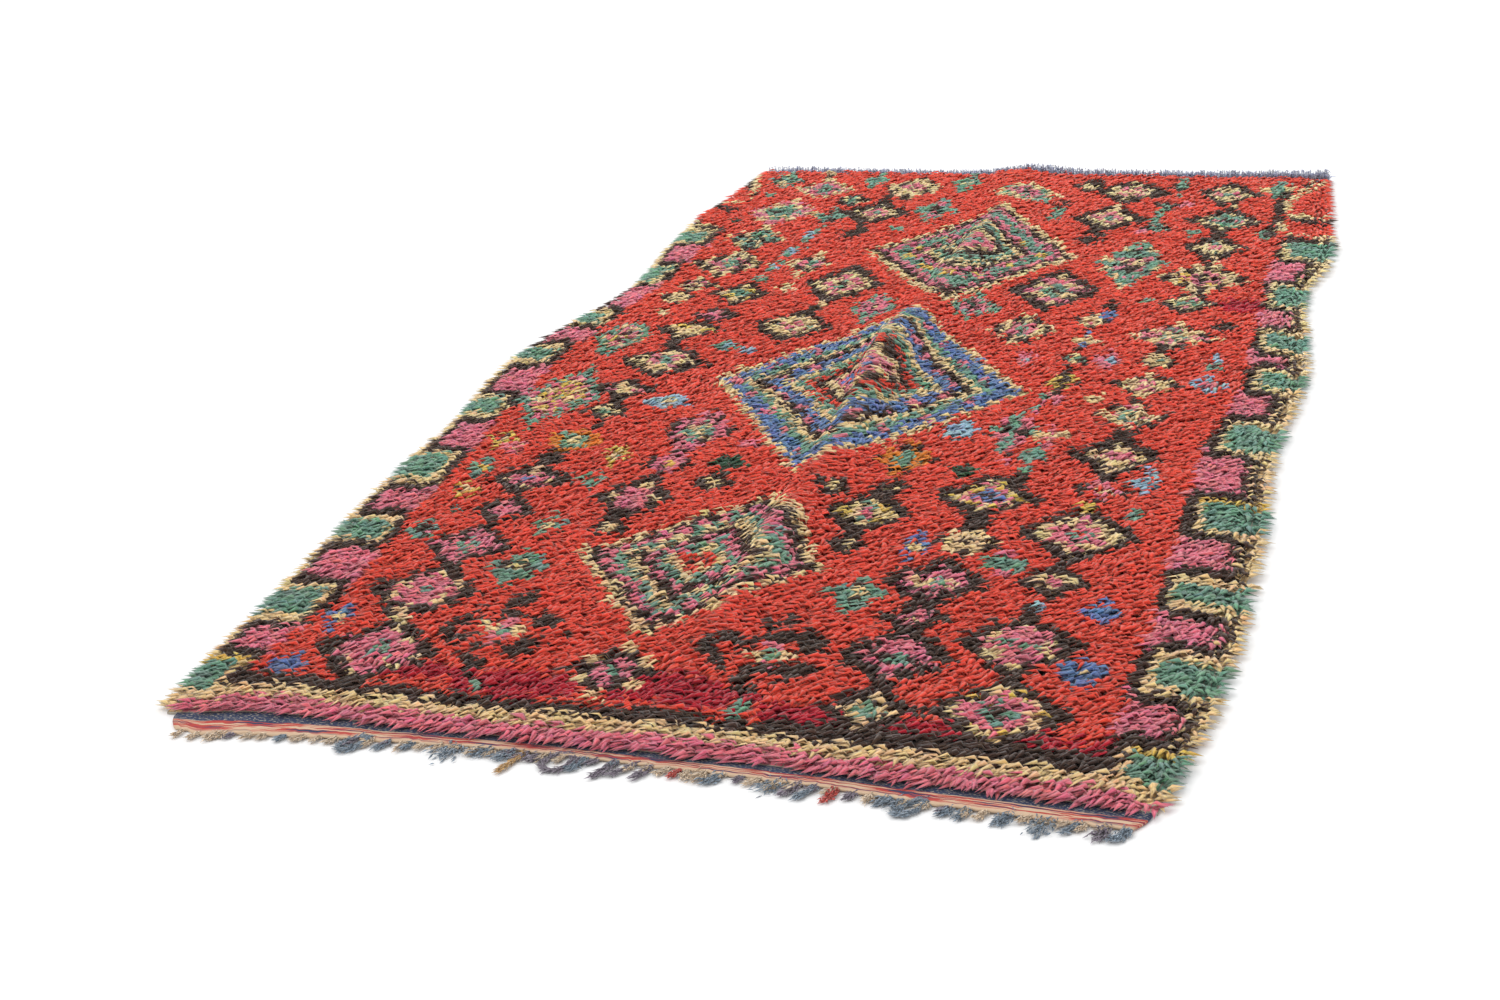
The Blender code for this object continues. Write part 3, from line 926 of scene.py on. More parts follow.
def mesh_of_leaves(name, template, points, colours, painted_light):
    """One mesh of many leaves, with the bake's map, the fibres' map and the yarn's colour times
    painted light along each leaf.
    """
    _points, faces, flat = template
    count, each = points.shape[:2]
    mesh = bpy.data.meshes.new(name)
    pattern = np.array([len(face) for face in faces])
    corners = np.concatenate([np.array(face) for face in faces])
    all_corners = (corners[None, :] + each * np.arange(count)[:, None]).ravel()
    starts = np.concatenate([[0], np.cumsum(np.tile(pattern, count))[:-1]])
    mesh.vertices.add(count * each)
    mesh.vertices.foreach_set("co", shift_to_part(points).astype(np.float32).ravel())
    mesh.loops.add(len(all_corners))
    mesh.loops.foreach_set("vertex_index", all_corners.astype(np.int32))
    mesh.polygons.add(len(starts))
    mesh.polygons.foreach_set("loop_start", starts.astype(np.int32))
    mesh.update(calc_edges=True)
    cells = math.ceil(math.sqrt(count))
    cell = np.stack([np.arange(count) % cells, np.arange(count) // cells], axis=-1)
    span = flat.max(axis=0) - flat.min(axis=0)
    even = (flat - flat.min(axis=0)) / span
    bake = (cell[:, None, :] + 0.04 + 0.92 * even[None, :, :]) / cells
    fibres = even[None, :, :] + cell[:, None, :] * np.array((1.37, 2.71))
    for map_name, values in (("OFBake", bake), ("fibres", fibres)):
        layer = mesh.uv_layers.new(name=map_name)
        layer.uv.foreach_set("vector", values.astype(np.float32).ravel())
    rgba = np.ones((count, each, 4), np.float32)
    # The yarn's colour times the painted light along each leaf: lighter at the root, against the
    # shade between the leaves
    rgba[..., :3] = np.clip(colours[:, None, :] * painted_light[None, :, None], 0, 1)
    yarn = mesh.color_attributes.new("yarn", "FLOAT_COLOR", "POINT")
    yarn.data.foreach_set("color", rgba.ravel())
    mesh.shade_smooth()
    piece = bpy.data.objects.new(name, mesh)
    bpy.context.scene.collection.objects.link(piece)
    return piece


def set_values(node, values):
    for socket, value in values.items():
        node.inputs[socket].default_value = value


def add_node(nodes, kind, values):
    """A new shader node with the values of its sockets."""
    node = nodes.new("ShaderNode" + kind)
    set_values(node, values)
    return node


def link_all(links, rows):
    """Link nodes by rows: from a node's output, to another node's input."""
    for source, output, target, socket in rows:
        links.new(source.outputs[output], target.inputs[socket])


def soft_shader(material, roughness, sheen):
    """A cloth shader with little gloss; returns its nodes, links and shader."""
    material.use_nodes = True
    shader = material.node_tree.nodes["Principled BSDF"]
    set_values(shader, {
        "Roughness": roughness,
        "Specular IOR Level": 0.15,
        "Sheen Weight": sheen,
        "Sheen Roughness": 0.5,
    })
    return material.node_tree.nodes, material.node_tree.links, shader


def add_map(nodes, name):
    """A node that reads one of the mesh's own maps."""
    node = nodes.new("ShaderNodeUVMap")
    node.uv_map = name
    return node


def add_yarn_colour(nodes):
    """A node that reads the yarns' colours."""
    node = nodes.new("ShaderNodeAttribute")
    node.attribute_name = "yarn"
    return node


def add_ramp(nodes, stops):
    """A colour ramp with its stops: position and colour, from low to high."""
    node = nodes.new("ShaderNodeValToRGB")
    elements = node.color_ramp.elements
    elements[0].position = stops[0][0]
    elements[1].position = stops[-1][0]
    for position, _colour in stops[1:-1]:
        elements.new(position)
    for element, (_position, colour) in zip(elements, stops):
        element.color = (*colour[:], 1)
    return node


def rag_material(name, streak_depth):
    """Soft torn rag and yarn: the yarn's colour, streaked lengthwise by its fibres."""
    material = bpy.data.materials.new(name)
    nodes, links, shader = soft_shader(material, 0.85, 0.2)
    set_values(shader, {
        "Subsurface Weight": 0.6,
        "Subsurface Radius": (1.0, 1.0, 1.0),
        "Subsurface Scale": 0.004,
    })
    yarn = add_yarn_colour(nodes)
    fibres = add_map(nodes, "fibres")
    stretch = add_node(nodes, "Mapping", {"Scale": (6.0, 1.5, 1.0)})
    noise = add_node(nodes, "TexNoise", {"Scale": 1.0, "Detail": 3.0})
    depth = add_node(nodes, "MapRange", {
        "From Min": 0.3,
        "From Max": 0.7,
        "To Min": 1.0 - streak_depth,
        "To Max": 1.0 + streak_depth,
    })
    tint = nodes.new("ShaderNodeVectorMath")
    tint.operation = "SCALE"
    bump = add_node(nodes, "Bump", {"Strength": 0.5, "Distance": 0.0012})
    link_all(links, (
        (fibres, "UV", stretch, "Vector"),
        (stretch, "Vector", noise, "Vector"),
        (noise, "Fac", depth, "Value"),
        (yarn, "Color", tint, 0),
        (depth, "Result", tint, "Scale"),
        (tint, "Vector", shader, "Base Color"),
        (noise, "Fac", bump, "Height"),
        (bump, "Normal", shader, "Normal"),
    ))
    return material


def ground_material(name, warp):
    """The knots' own colours, parted by lines of the ground's weft and warp."""
    material = bpy.data.materials.new(name)
    nodes, links, shader = soft_shader(material, 0.9, 0.1)
    yarn = add_yarn_colour(nodes)
    count = add_map(nodes, "knots")
    weave = add_node(nodes, "TexBrick", {
        "Scale": 1.0,
        "Brick Width": 1.0,
        "Row Height": 1.0,
        "Mortar Size": 0.11,
        "Mortar Smooth": 0.6,
        "Mortar": (*warp, 1),
    })
    weave.offset = 0.0
    bump = add_node(nodes, "Bump", {"Strength": 0.8, "Distance": 0.002})
    bump.invert = True
    link_all(links, (
        (count, "UV", weave, "Vector"),
        (yarn, "Color", weave, "Color1"),
        (yarn, "Color", weave, "Color2"),
        (weave, "Color", shader, "Base Color"),
        (weave, "Fac", bump, "Height"),
        (bump, "Normal", shader, "Normal"),
    ))
    return material


def flatweave_material(name, yarns, rows):
    """Weft-faced weave: navy picks beside the pile, then streaks of red and cream."""
    material = bpy.data.materials.new(name)
    nodes, links, shader = soft_shader(material, 0.9, 0.1)
    count = add_map(nodes, "knots")
    split = nodes.new("ShaderNodeSeparateXYZ")
    streak_size = add_node(nodes, "Mapping", {"Scale": (0.08, 1.15, 1.0)})
    streaks = add_node(nodes, "TexNoise", {"Scale": 1.0, "Detail": 3.0, "Roughness": 0.45})
    speck_size = add_node(nodes, "Mapping", {"Scale": (1.3, 2.6, 1.0)})
    specks = add_node(nodes, "TexNoise", {"Scale": 1.0, "Detail": 1.0})
    red_or_cream = add_ramp(nodes, (
        (0.41, yarns.navy), (0.42, yarns.brick), (0.53, yarns.brick), (0.54, yarns.ecru),
    ))
    navy_specks = add_ramp(nodes, ((0.56, yarns.navy), (0.66, yarns.warp)))
    beside_pile = add_node(nodes, "MapRange", {"From Min": 0.54 * rows, "From Max": 0.58 * rows})
    frayed = add_node(nodes, "MapRange", {"From Min": 0.20 * rows, "From Max": 0.05 * rows})
    mix_edge = nodes.new("ShaderNodeMix")
    mix_edge.data_type = "RGBA"
    mix_edge.inputs["B"].default_value = (*yarns.ecru[:], 1)
    mix_navy = nodes.new("ShaderNodeMix")
    mix_navy.data_type = "RGBA"
    bump = add_node(nodes, "Bump", {"Strength": 0.7, "Distance": 0.0015})
    link_all(links, (
        (count, "UV", split, "Vector"),
        (count, "UV", streak_size, "Vector"),
        (streak_size, "Vector", streaks, "Vector"),
        (count, "UV", speck_size, "Vector"),
        (speck_size, "Vector", specks, "Vector"),
        (streaks, "Fac", red_or_cream, "Fac"),
        (specks, "Fac", navy_specks, "Fac"),
        (split, "Y", beside_pile, "Value"),
        (split, "Y", frayed, "Value"),
        (frayed, "Result", mix_edge, "Factor"),
        (red_or_cream, "Color", mix_edge, "A"),
        (beside_pile, "Result", mix_navy, "Factor"),
        (mix_edge, "Result", mix_navy, "A"),
        (navy_specks, "Color", mix_navy, "B"),
        (mix_navy, "Result", shader, "Base Color"),
        (specks, "Fac", bump, "Height"),
        (bump, "Normal", shader, "Normal"),
    ))
    return material


def combing(pile, across, along):
    """How the pile lies before its own unevenness: tilt of the leaves, and turn at the rims."""
    left, right = ground_edges(along)
    outward = np.exp(-(right - across) / RIM_TURN) - np.exp(-(across - left) / RIM_TURN)
    outward = np.clip(outward, -1, 1)
    near = np.exp(-(along - askew(across, NEAR_END) - ROOT_MARGIN) / NEAR_LEAN_REACH)
    tilt = pile.lean + EDGE_LEAN * np.abs(outward) + EDGE_LEAN * near
    return tilt, outward


def charted_knots(pile, rng):
    """Places of all the knots, and the yarn that each one shows where its leaves lie."""
    across, along = knot_places(pile)
    tilt, outward = combing(pile, across, along)
    over = TIP_SHOWS * pile.leaf_length * np.sin(tilt)
    over_x = over * (np.cos(COMBED_HEADING) * (1 - np.abs(outward)) + outward)
    over_y = over * np.sin(COMBED_HEADING) * (1 - np.abs(outward))
    yarn = charted_yarns(across + over_x, along + over_y, rng)
    return across, along, yarn


def make_pile():
    """All the leaves of the pile, in bands along the rug."""
    pile = bpy.context.scene.rug_pile
    rng = np.random.default_rng(PILE_SEED)
    across, along, yarn = charted_knots(pile, rng)
    palette = yarn_colours(bpy.context.scene.rug_yarns)
    template = model_leaf()
    material = rag_material("rag_pile", RAG_STREAKS)
    rows_each = pile.rows // pile.bands
    for band in range(pile.bands):
        picked = slice(band * rows_each, (band + 1) * rows_each)
        make_pile_band(
            f"pile_{band + 1}", template, material, palette,
            across[picked].ravel(), along[picked].ravel(), yarn[picked].ravel(), rng,
        )


def make_pile_band(name, template, material, palette, across, along, yarn, rng):
    """Four leaves of rag for every knot of one band."""
    pile = bpy.context.scene.rug_pile
    knots = len(across)
    across = across + KNOT_STRAY[0] * rng.uniform(-1, 1, knots)
    along = along + KNOT_STRAY[1] * rng.uniform(-1, 1, knots)
    normals = fold_normals(across, along)
    tilted, outward = combing(pile, across, along)
    swirl = sum(turn * patchy(across, along, size, seed) for turn, size, seed in SWIRLS)
    combed = COMBED_HEADING + swirl + rng.normal(0, KNOT_TURN, knots)
    colour = palette[yarn] * np.exp(SHADE_UNEVENNESS * rng.standard_normal((knots, 1)))
    uneven = np.array(YARN_UNEVENNESS)[yarn][:, None]
    colour = colour * np.exp(uneven * rng.standard_normal((knots, 3)))
    streaks = patchy(across * STREAK_LENGTHENING, along, STREAK_SIZE, STREAK_SEED)
    colour = colour * (1.0 + STREAK_DEPTH * streaks)[:, None]
    # The yarns grow lighter towards the far end and darker towards the near end
    colour = colour * (1.0 + np.array(FAR_END_LIGHTENING) * along[:, None])
    made = []
    tints = []
    for (spread, aside, height), fan in zip(LEAVES_OF_A_KNOT, RIM_FAN):
        turned = np.clip(outward * fan, -1, 1)
        heading = combed + spread + rng.normal(0, LEAF_TURN, knots)
        tilt = tilted + np.clip(rng.normal(0, LEAF_TILT, knots), *STRAY_TILT)
        level = np.stack([np.cos(heading), np.sin(heading), np.zeros(knots)], axis=-1)
        level *= (1.0 - np.abs(turned))[:, None]
        level[:, 0] += turned
        level[:, 1] += (RIM_STRAY * rng.normal(0, 1, knots) + spread) * np.abs(turned)
        level = unit(level)
        flat = unit(level - normals * np.sum(level * normals, axis=-1, keepdims=True))
        length = pile.leaf_length * np.exp(rng.normal(0, LENGTH_UNEVENNESS, knots))
        length = length * (1.0 - RIM_SHORTNESS * np.abs(outward))
        side = np.cross(normals, flat)
        roots = np.stack([across, along, fold_rise(across, along) + ROOT_HEIGHT], axis=-1)
        roots = roots + side * aside
        widths = pile.leaf_width * np.exp(rng.normal(0, WIDTH_UNEVENNESS, knots))
        points = lay_leaves(
            template, roots, normals * (height * length * np.cos(tilt))[:, None],
            flat * (length * np.sin(tilt))[:, None], normals, widths,
            rng.uniform(*LEAF_FLATNESS, knots), rng.normal(0, LEAF_TWIST, knots),
            rng.normal(0, LEAF_CURL, knots),
        )
        points[..., 2] = np.maximum(points[..., 2], FLOOR_CLEARANCE)
        made.append(points)
        tints.append(colour * np.exp(SHADE_UNEVENNESS * rng.standard_normal((knots, 1))))
    # Painted light: each leaf's root is coloured lighter, to lift the shade between the leaves
    painted_light = np.interp(template[0][:, 2], LEAF_REACHES, LEAF_PAINTED_LIGHT)
    piece = mesh_of_leaves(name, template, np.concatenate(made), np.concatenate(tints), painted_light)
    piece.data.materials.append(material)
    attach(piece, ROOT_BODY)
    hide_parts("pile_field")
    return piece


def count_and_map(cloth, columns, rows):
    """Count the cloth's columns and rows in one map, and lay its faces apart in the bake's."""
    mesh = cloth.data
    loops = len(mesh.loops)
    counted = np.zeros(loops * 2)
    mesh.uv_layers["knots"].uv.foreach_get("vector", counted)
    counted = counted.reshape(loops, 2)
    starts = np.zeros(len(mesh.polygons), int)
    mesh.polygons.foreach_get("loop_start", starts)
    upward = np.zeros(len(mesh.polygons) * 3)
    mesh.polygons.foreach_get("normal", upward)
    upward = upward.reshape(-1, 3)[:, 2]
    corner_of_face = np.arange(loops) - np.repeat(starts, 4)
    face_of_corner = np.repeat(np.arange(len(starts)), 4)
    bake = counted / np.array((columns, rows)) * np.array((0.46, 0.98))
    bake = bake + np.where(upward[face_of_corner] > 0, 0.01, 0.52)[:, None] * np.array((1, 0))
    bake[:, 1] += 0.01
    rim_from = 2 * columns * rows
    rim_step = 1.0 / (len(starts) - rim_from)
    rim_u = np.array((0.485, 0.515, 0.515, 0.485))
    rim_v = np.array((0.1, 0.1, 0.9, 0.9))
    on_rim = face_of_corner >= rim_from
    bake[on_rim, 0] = rim_u[corner_of_face[on_rim]]
    rim_row = face_of_corner[on_rim] - rim_from
    bake[on_rim, 1] = (rim_row + rim_v[corner_of_face[on_rim]]) * rim_step
    layer = mesh.uv_layers.new(name="OFBake")
    layer.uv.foreach_set("vector", bake.astype(np.float32).ravel())
    middle = np.add.reduceat(counted, starts, axis=0) / 4
    column = np.clip(np.floor(middle[:, 0]).astype(int), 0, columns - 1)
    row = np.clip(np.floor(middle[:, 1]).astype(int), 0, rows - 1)
    return column, row


def lay_cloth(name, columns, rows, across, along, height, thickness):
    """A grid laid over its places, thickened upwards, with its columns and rows counted."""
    bpy.ops.object.select_all(action="DESELECT")
    bpy.ops.mesh.primitive_grid_add(x_subdivisions=columns, y_subdivisions=rows, size=2)
    cloth = bpy.context.object
    cloth.name = name
    mesh = cloth.data
    mesh.name = name
    points = np.stack([across, along, height], axis=-1).reshape(-1, 3)
    mesh.vertices.foreach_set("co", shift_to_part(points).astype(np.float32).ravel())
    counting = mesh.uv_layers[0]
    counting.name = "knots"
    places = np.zeros(len(mesh.loops) * 2)
    counting.uv.foreach_get("vector", places)
    places = places.reshape(-1, 2) * np.array((columns, rows))
    counting.uv.foreach_set("vector", places.astype(np.float32).ravel())
    thick = cloth.modifiers.new("cloth", "SOLIDIFY")
    thick.thickness = thickness
    thick.offset = 1.0
    bpy.ops.object.modifier_apply(modifier=thick.name)
    bpy.ops.object.shade_smooth()
    return cloth


def make_ground():
    """The ground cloth under the pile: its knots' backs show the pattern, parted by the weft, in
    colours darkened a little as painted shade.
    """
    pile = bpy.context.scene.rug_pile
    yarns = bpy.context.scene.rug_yarns
    rng = np.random.default_rng(PILE_SEED)
    yarn = charted_knots(pile, rng)[2]
    column_shares = np.arange(pile.columns + 1) / pile.columns
    row_shares = np.arange(pile.rows + 1) / pile.rows
    across, along = cloth_places(column_shares, row_shares)
    height = fold_rise(across, along) + FLOOR_CLEARANCE
    cloth = lay_cloth(
        "woven_ground", pile.columns, pile.rows, across, along, height, pile.ground_thickness
    )
    column, row = count_and_map(cloth, pile.columns, pile.rows)
    colour = yarn_colours(yarns)[yarn[row, column]]
    backs = np.random.default_rng(GROUND_SEED)
    colour = colour * np.exp(BACK_UNEVENNESS * backs.standard_normal((len(colour), 1)))
    rgba = np.ones((len(cloth.data.loops), 4), np.float32)
    # Knot colours darkened a little as painted shade under the pile
    rgba[:, :3] = np.repeat(np.clip(colour * GROUND_PAINTED_SHADE, 0, 1), 4, axis=0)
    layer = cloth.data.color_attributes.new("yarn", "FLOAT_COLOR", "CORNER")
    layer.data.foreach_set("color", rgba.ravel())
    cloth.data.materials.append(ground_material("knotted_ground", yarns.warp[:]))
    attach(cloth, ROOT_BODY)
    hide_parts("pile_field")
    return cloth


def band_edge(across):
    """The outer edge of the flat-woven end, place along the rug."""
    table = np.array(BAND_EDGE) / 1000
    return np.interp(across, table[:, 0], table[:, 1])


def make_flat_weave():
    """The flat-woven end: a thin cloth on the floor from the last knots to its torn edge."""
    fringe = bpy.context.scene.rug_fringe
    yarns = bpy.context.scene.rug_yarns
    rng = np.random.default_rng(WEAVE_SEED)
    columns = fringe.weave_columns
    rows = fringe.weave_rows
    share_x = np.arange(columns + 1) / columns
    share_y = np.arange(rows + 1) / rows
    across = BAND_LEFT + share_x * (BAND_RIGHT - BAND_LEFT)
    inner = askew(across, np.full(columns + 1, NEAR_END + ROOT_MARGIN)) - PILE_GAP
    outer = band_edge(across) + rng.normal(0, EDGE_RAGGEDNESS, columns + 1)
    along = outer + share_y[:, None] * (inner - outer)
    drawn_in = BAND_CORNER * (1 - share_y[:, None]) ** 2
    middle = (BAND_LEFT + BAND_RIGHT) / 2
    half = (BAND_RIGHT - BAND_LEFT) / 2
    across = middle + (across - middle) * (1 - drawn_in / half)
    swell = patchy(across, along, SWELL_SIZE, SWELL_SEED) + 1
    rise = SWELL_RISE * swell * (1 - share_y[:, None])
    height = FLOOR_CLEARANCE + rise + fold_rise(across, along) * share_y[:, None]
    cloth = lay_cloth(
        "flat_weave", columns, rows, across, along, height, fringe.weave_thickness
    )
    count_and_map(cloth, columns, rows)
    cloth.data.materials.append(flatweave_material("weft_faced_weave", yarns, rows))
    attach(cloth, ROOT_BODY)
    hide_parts("near_end_band")
    return cloth


def strand_path(start, heading, length, girth, loop):
    """Middle line of a torn end: out to its tip, or out and back for a loop."""
    share = np.linspace(0.0, 1.0, 41)
    ahead = np.array((math.cos(heading), math.sin(heading), 0.0))
    aside = np.array((-ahead[1], ahead[0], 0.0))
    if loop:
        out = length * (1 - np.cos(2 * math.pi * share)) / 2
        sway = girth / 2 * np.sin(2 * math.pi * share)
    else:
        out = length * share
        sway = 0.15 * girth * np.sin(3 * share)
    return start + out[:, None] * ahead + sway[:, None] * aside


def fray_along(path, count, piece_length, spread, rng):
    """Short fibres laid along a path: where each starts, and the way that it runs."""
    share = np.sort(rng.uniform(0.0, 0.97, count)) * (len(path) - 1)
    low = np.floor(share).astype(int)
    start = path[low] + (path[low + 1] - path[low]) * (share - low)[:, None]
    run = unit(path[low + 1] - path[low])
    run = run + rng.normal(0, 0.22, (count, 3)) * np.array((1, 1, 0.4))
    start = start + rng.normal(0, 1, (count, 3)) * np.array((spread, spread, spread / 3))
    return start, unit(run) * (piece_length * rng.uniform(0.7, 1.3, count))[:, None]


def make_torn_ends():
    """Torn rags, loops and one straw-coloured end along the outer edge of the flat weave."""
    fringe = bpy.context.scene.rug_fringe
    yarns = bpy.context.scene.rug_yarns
    rng = np.random.default_rng(TORN_SEED)
    colours = {
        "g": yarns.torn[:], "v": yarns.mauve[:], "s": yarns.straw[:], "c": yarns.ecru[:],
        "r": yarns.brick[:],
    }
    ends = in_metres(TORN_ENDS)
    spare = max(0, fringe.tufts - len(ends))
    for place in np.linspace(BAND_LEFT + SPARE_INSETS[0], BAND_RIGHT - SPARE_INSETS[1], spare):
        letter = SPARE_COLOURS[rng.integers(0, len(SPARE_COLOURS))]
        long = rng.uniform(*SPARE_LENGTHS)
        ends.append((place, long, rng.uniform(*SPARE_WIDTHS), "tuft", letter))
    template = model_leaf()
    starts = []
    runs = []
    tints = []
    for across, length, girth, kind, letter in ends:
        heading = TORN_HEADING + rng.normal(0, 0.15)
        start = np.array((across, band_edge(across) + 0.004, FLOOR_CLEARANCE + 0.0028))
        path = strand_path(start, heading, 1.25 * length + 0.004, girth, kind == "loop")
        fullness = LOOP_FULLNESS if kind == "loop" else 1.0
        fibres = int(fringe.fibres * fullness * (0.5 + length / 0.02))
        spread = LOOP_SPREAD if kind == "loop" else girth * TUFT_SPREAD
        start, run = fray_along(path, fibres, FIBRE_RUN, spread, rng)
        starts.append(start)
        runs.append(run)
        tints.append(np.array(colours[letter]) * np.exp(rng.normal(0, 0.18, (fibres, 1))))
    roots = np.concatenate(starts)
    over = np.concatenate(runs)
    count = len(roots)
    upward = np.tile(np.array((0.0, 0.0, 1.0)), (count, 1))
    roots[:, 2] = np.maximum(roots[:, 2], FLOOR_CLEARANCE)
    points = lay_leaves(
        template, roots, upward * rng.uniform(0.0002, 0.0012, count)[:, None], over, upward,
        fringe.fibre_width * rng.uniform(*FIBRE_WIDTHS, count), np.full(count, FIBRE_FLATNESS),
        rng.normal(0, FIBRE_TWIST, count), rng.normal(0, FIBRE_CURL, count),
    )
    points[..., 2] = np.maximum(points[..., 2], FLOOR_CLEARANCE / 2)
    # Painted light: each fibre's root is coloured lighter, as on the pile's leaves
    painted_light = np.interp(template[0][:, 2], LEAF_REACHES, LEAF_PAINTED_LIGHT)
    piece = mesh_of_leaves("torn_ends", template, points, np.concatenate(tints), painted_light)
    piece.data.materials.append(rag_material("torn_yarn", YARN_STREAKS))
    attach(piece, ROOT_BODY)
    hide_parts("near_end_band")
    return piece


def make_far_wisps():
    """Teased blue-grey yarn at the far end, thicker over its right half."""
    fringe = bpy.context.scene.rug_fringe
    yarns = bpy.context.scene.rug_yarns
    rng = np.random.default_rng(WISP_SEED)
    template = model_leaf()
    count = fringe.wisps
    left, right = ground_edges(FAR_END)
    right = right + RIM_REACH / 2
    across = left + (right - left) * rng.uniform(0.0, 1.0, count) ** WISP_CROWDING
    depth = rng.uniform(*WISP_DEPTHS, count)
    along = askew(across, FAR_END) + depth
    ground = fold_rise(across, np.full(count, FAR_END))
    heading = rng.normal(math.pi / 2, WISP_HEADING_SPREAD, count)
    tilt = rng.normal(fringe.wisp_lean, WISP_LEAN_SPREAD, count)
    fuller = np.interp(across, WISP_FULLNESS_PLACES, WISP_FULLNESS)
    length = rng.uniform(*WISP_LENGTHS, count) * fringe.wisp_length * fuller
    flat = np.stack([np.cos(heading), np.sin(heading), np.zeros(count)], axis=-1)
    upward = np.tile(np.array((0.0, 0.0, 1.0)), (count, 1))
    roots = np.stack([across, along, ground + WISP_ROOT_HEIGHT], axis=-1)
    points = lay_leaves(
        template, roots, upward * (length * np.cos(tilt))[:, None],
        flat * (length * np.sin(tilt))[:, None], upward,
        fringe.wisp_width * rng.uniform(*FIBRE_WIDTHS, count), np.full(count, FIBRE_FLATNESS),
        rng.normal(0, FIBRE_TWIST, count), rng.normal(0, FIBRE_CURL, count),
    )
    points[..., 2] = np.maximum(points[..., 2], FLOOR_CLEARANCE)
    tints = np.array(yarns.fringe[:]) * np.exp(rng.normal(0, WISP_SHADES, (count, 1)))
    # Painted light: each wisp's root is coloured lighter, as on the pile's leaves
    painted_light = np.interp(template[0][:, 2], LEAF_REACHES, LEAF_PAINTED_LIGHT)
    piece = mesh_of_leaves("far_wisps", template, points, tints, painted_light)
    piece.data.materials.append(rag_material("teased_yarn", YARN_STREAKS))
    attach(piece, ROOT_BODY)
    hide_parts("far_fringe")
    return piece


class RUG_OT_ground(bpy.types.Operator):
    """Weave the ground cloth over the fold"""

    bl_idname = "rug.ground"
    bl_label = "Ground Cloth"

    def execute(self, context):
        make_ground()
        return {"FINISHED"}


class RUG_OT_pile(bpy.types.Operator):
    """Knot the pile in bands over the folded ground cloth"""

    bl_idname = "rug.pile"
    bl_label = "Knotted Pile"

    def execute(self, context):
        make_pile()
        return {"FINISHED"}


class RUG_OT_near_end(bpy.types.Operator):
    """Weave the flat end and hang its torn rags and loops"""

    bl_idname = "rug.near_end"
    bl_label = "Flat-Woven End"

    def execute(self, context):
        make_flat_weave()
        make_torn_ends()
        return {"FINISHED"}


class RUG_OT_far_end(bpy.types.Operator):
    """Tease the blue-grey yarn out at the far end"""

    bl_idname = "rug.far_end"
    bl_label = "Far Fringe"

    def execute(self, context):
        make_far_wisps()
        return {"FINISHED"}


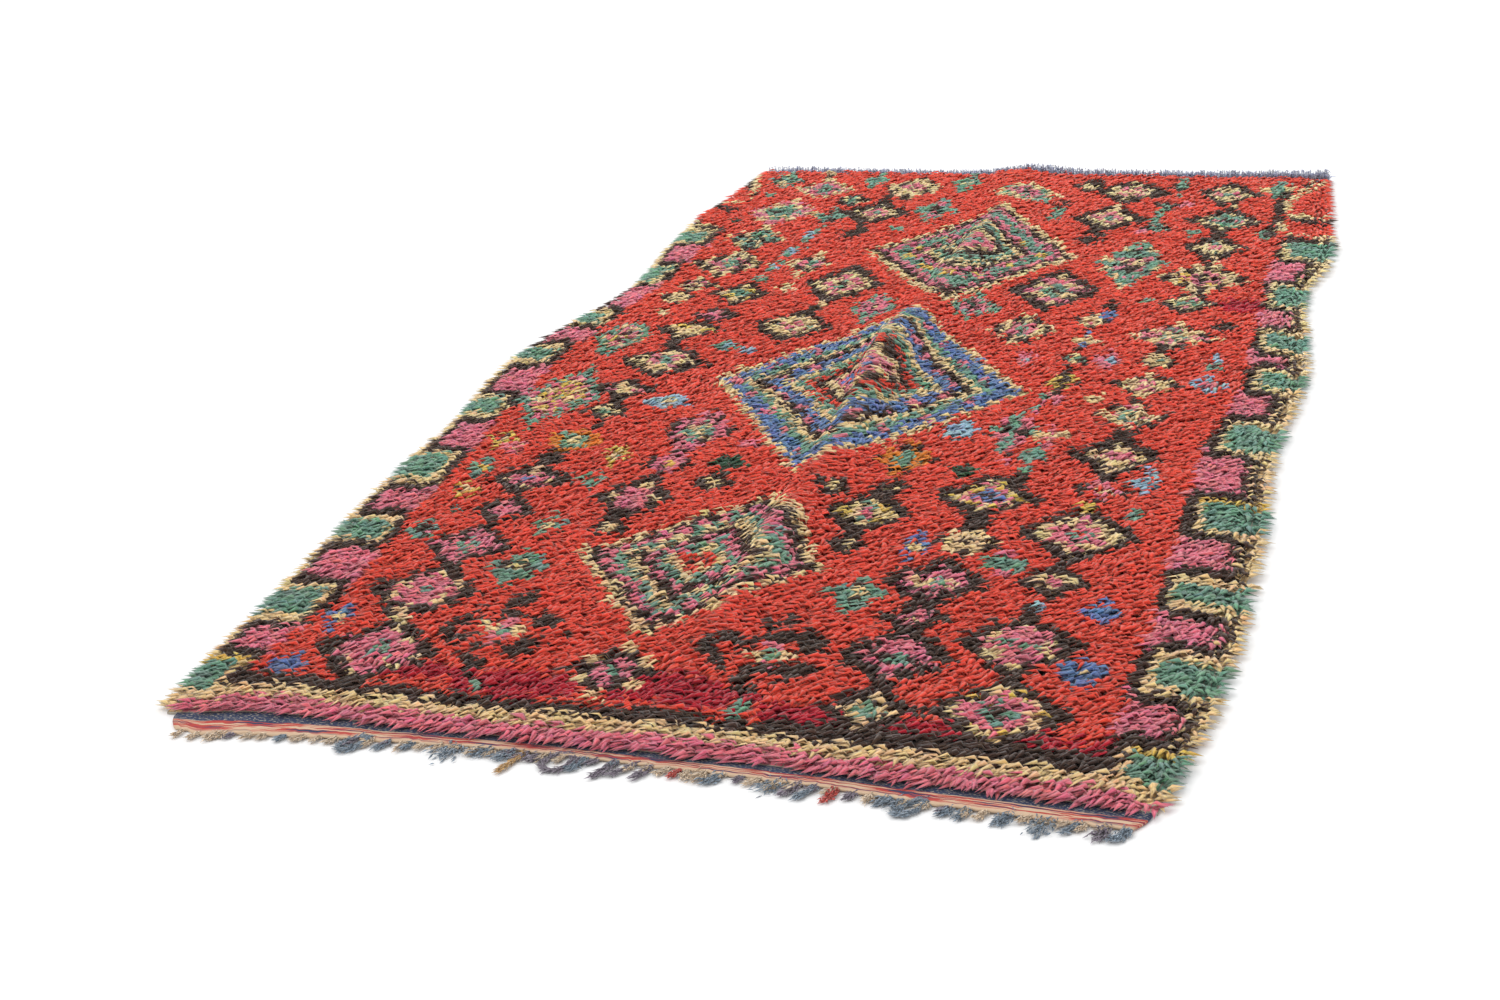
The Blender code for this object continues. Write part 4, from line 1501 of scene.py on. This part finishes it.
class RUG_OT_stage(bpy.types.Operator):
    """Lay the pale floor and set up the soft light and the camera"""

    bl_idname = "rug.stage"
    bl_label = "Floor, Light and Camera"

    def execute(self, context):
        settings = context.scene.rug_stage
        bpy.ops.object.select_all(action="DESELECT")
        bpy.ops.mesh.primitive_plane_add(size=FLOOR_SIZE, location=(0, 0, -FLOOR_DROP))
        floor = context.object
        floor.name = "studio_floor"
        paint = bpy.data.materials.new("pale_floor")
        paint.use_nodes = True
        shader = paint.node_tree.nodes["Principled BSDF"]
        shader.inputs["Base Color"].default_value = FLOOR_PAINT
        shader.inputs["Roughness"].default_value = 0.9
        shader.inputs["Specular IOR Level"].default_value = 0.1
        floor.data.materials.append(paint)
        world = bpy.data.worlds.new("soft_daylight")
        world.use_nodes = True
        sky = world.node_tree.nodes["Background"]
        sky.inputs["Color"].default_value = (1.0, 1.0, 1.0, 1)
        sky.inputs["Strength"].default_value = settings.daylight
        context.scene.world = world
        bpy.ops.object.light_add(type="SUN", location=LAMP_PLACE)
        lamp = context.object
        lamp.name = "overhead_light"
        lamp.data.energy = settings.overhead
        lamp.data.angle = settings.overhead_spread
        aim = Vector((0, 0, 0)) - lamp.location
        lamp.rotation_euler = aim.to_track_quat("-Z", "Y").to_euler()
        eye = bpy.data.cameras.new("eye")
        eye.lens = settings.lens
        eye.sensor_width = 36.0
        eye.sensor_fit = "HORIZONTAL"
        eye.clip_end = 100.0
        camera = bpy.data.objects.new("eye", eye)
        context.scene.collection.objects.link(camera)
        place = Matrix.Translation((
            settings.eye_across - FLOOR_MIDDLE[0],
            settings.eye_along - FLOOR_MIDDLE[1],
            settings.eye_height,
        ))
        turn = (
            Matrix.Rotation(settings.yaw, 4, "Z")
            @ Matrix.Rotation(math.pi / 2 - settings.pitch, 4, "X")
            @ Matrix.Rotation(settings.roll, 4, "Z")
        )
        camera.matrix_world = place @ turn
        context.scene.camera = camera
        context.scene.view_settings.view_transform = "Standard"
        return {"FINISHED"}


class RUG_PT_panel(bpy.types.Panel):
    """Sizes, colours and the steps that make the rug"""

    bl_idname = "RUG_PT_panel"
    bl_label = "Rug"
    bl_space_type = "VIEW_3D"
    bl_region_type = "UI"
    bl_category = "Rug"

    def draw(self, context):
        scene = context.scene
        for settings in (scene.rug_yarns, scene.rug_pile, scene.rug_fringe, scene.rug_stage):
            box = self.layout.box()
            for name in settings.bl_rna.properties.keys():
                if name not in ("rna_type", "name"):
                    box.prop(settings, name)
        for step in STEPS:
            self.layout.operator(step.bl_idname)


STEPS = (RUG_OT_ground, RUG_OT_pile, RUG_OT_near_end, RUG_OT_far_end, RUG_OT_stage)
CLASSES = (RugYarns, RugPile, RugFringe, RugStage, *STEPS, RUG_PT_panel)


def register():
    for item in CLASSES:
        bpy.utils.register_class(item)
    bpy.types.Scene.rug_yarns = PointerProperty(type=RugYarns)
    bpy.types.Scene.rug_pile = PointerProperty(type=RugPile)
    bpy.types.Scene.rug_fringe = PointerProperty(type=RugFringe)
    bpy.types.Scene.rug_stage = PointerProperty(type=RugStage)


def unregister():
    del bpy.types.Scene.rug_stage
    del bpy.types.Scene.rug_fringe
    del bpy.types.Scene.rug_pile
    del bpy.types.Scene.rug_yarns
    for item in reversed(CLASSES):
        bpy.utils.unregister_class(item)


def main():
    register()
    bpy.ops.rug.ground()
    bpy.ops.rug.pile()
    bpy.ops.rug.near_end()
    bpy.ops.rug.far_end()
    bpy.ops.rug.stage()


if __name__ == "__main__":
    main()
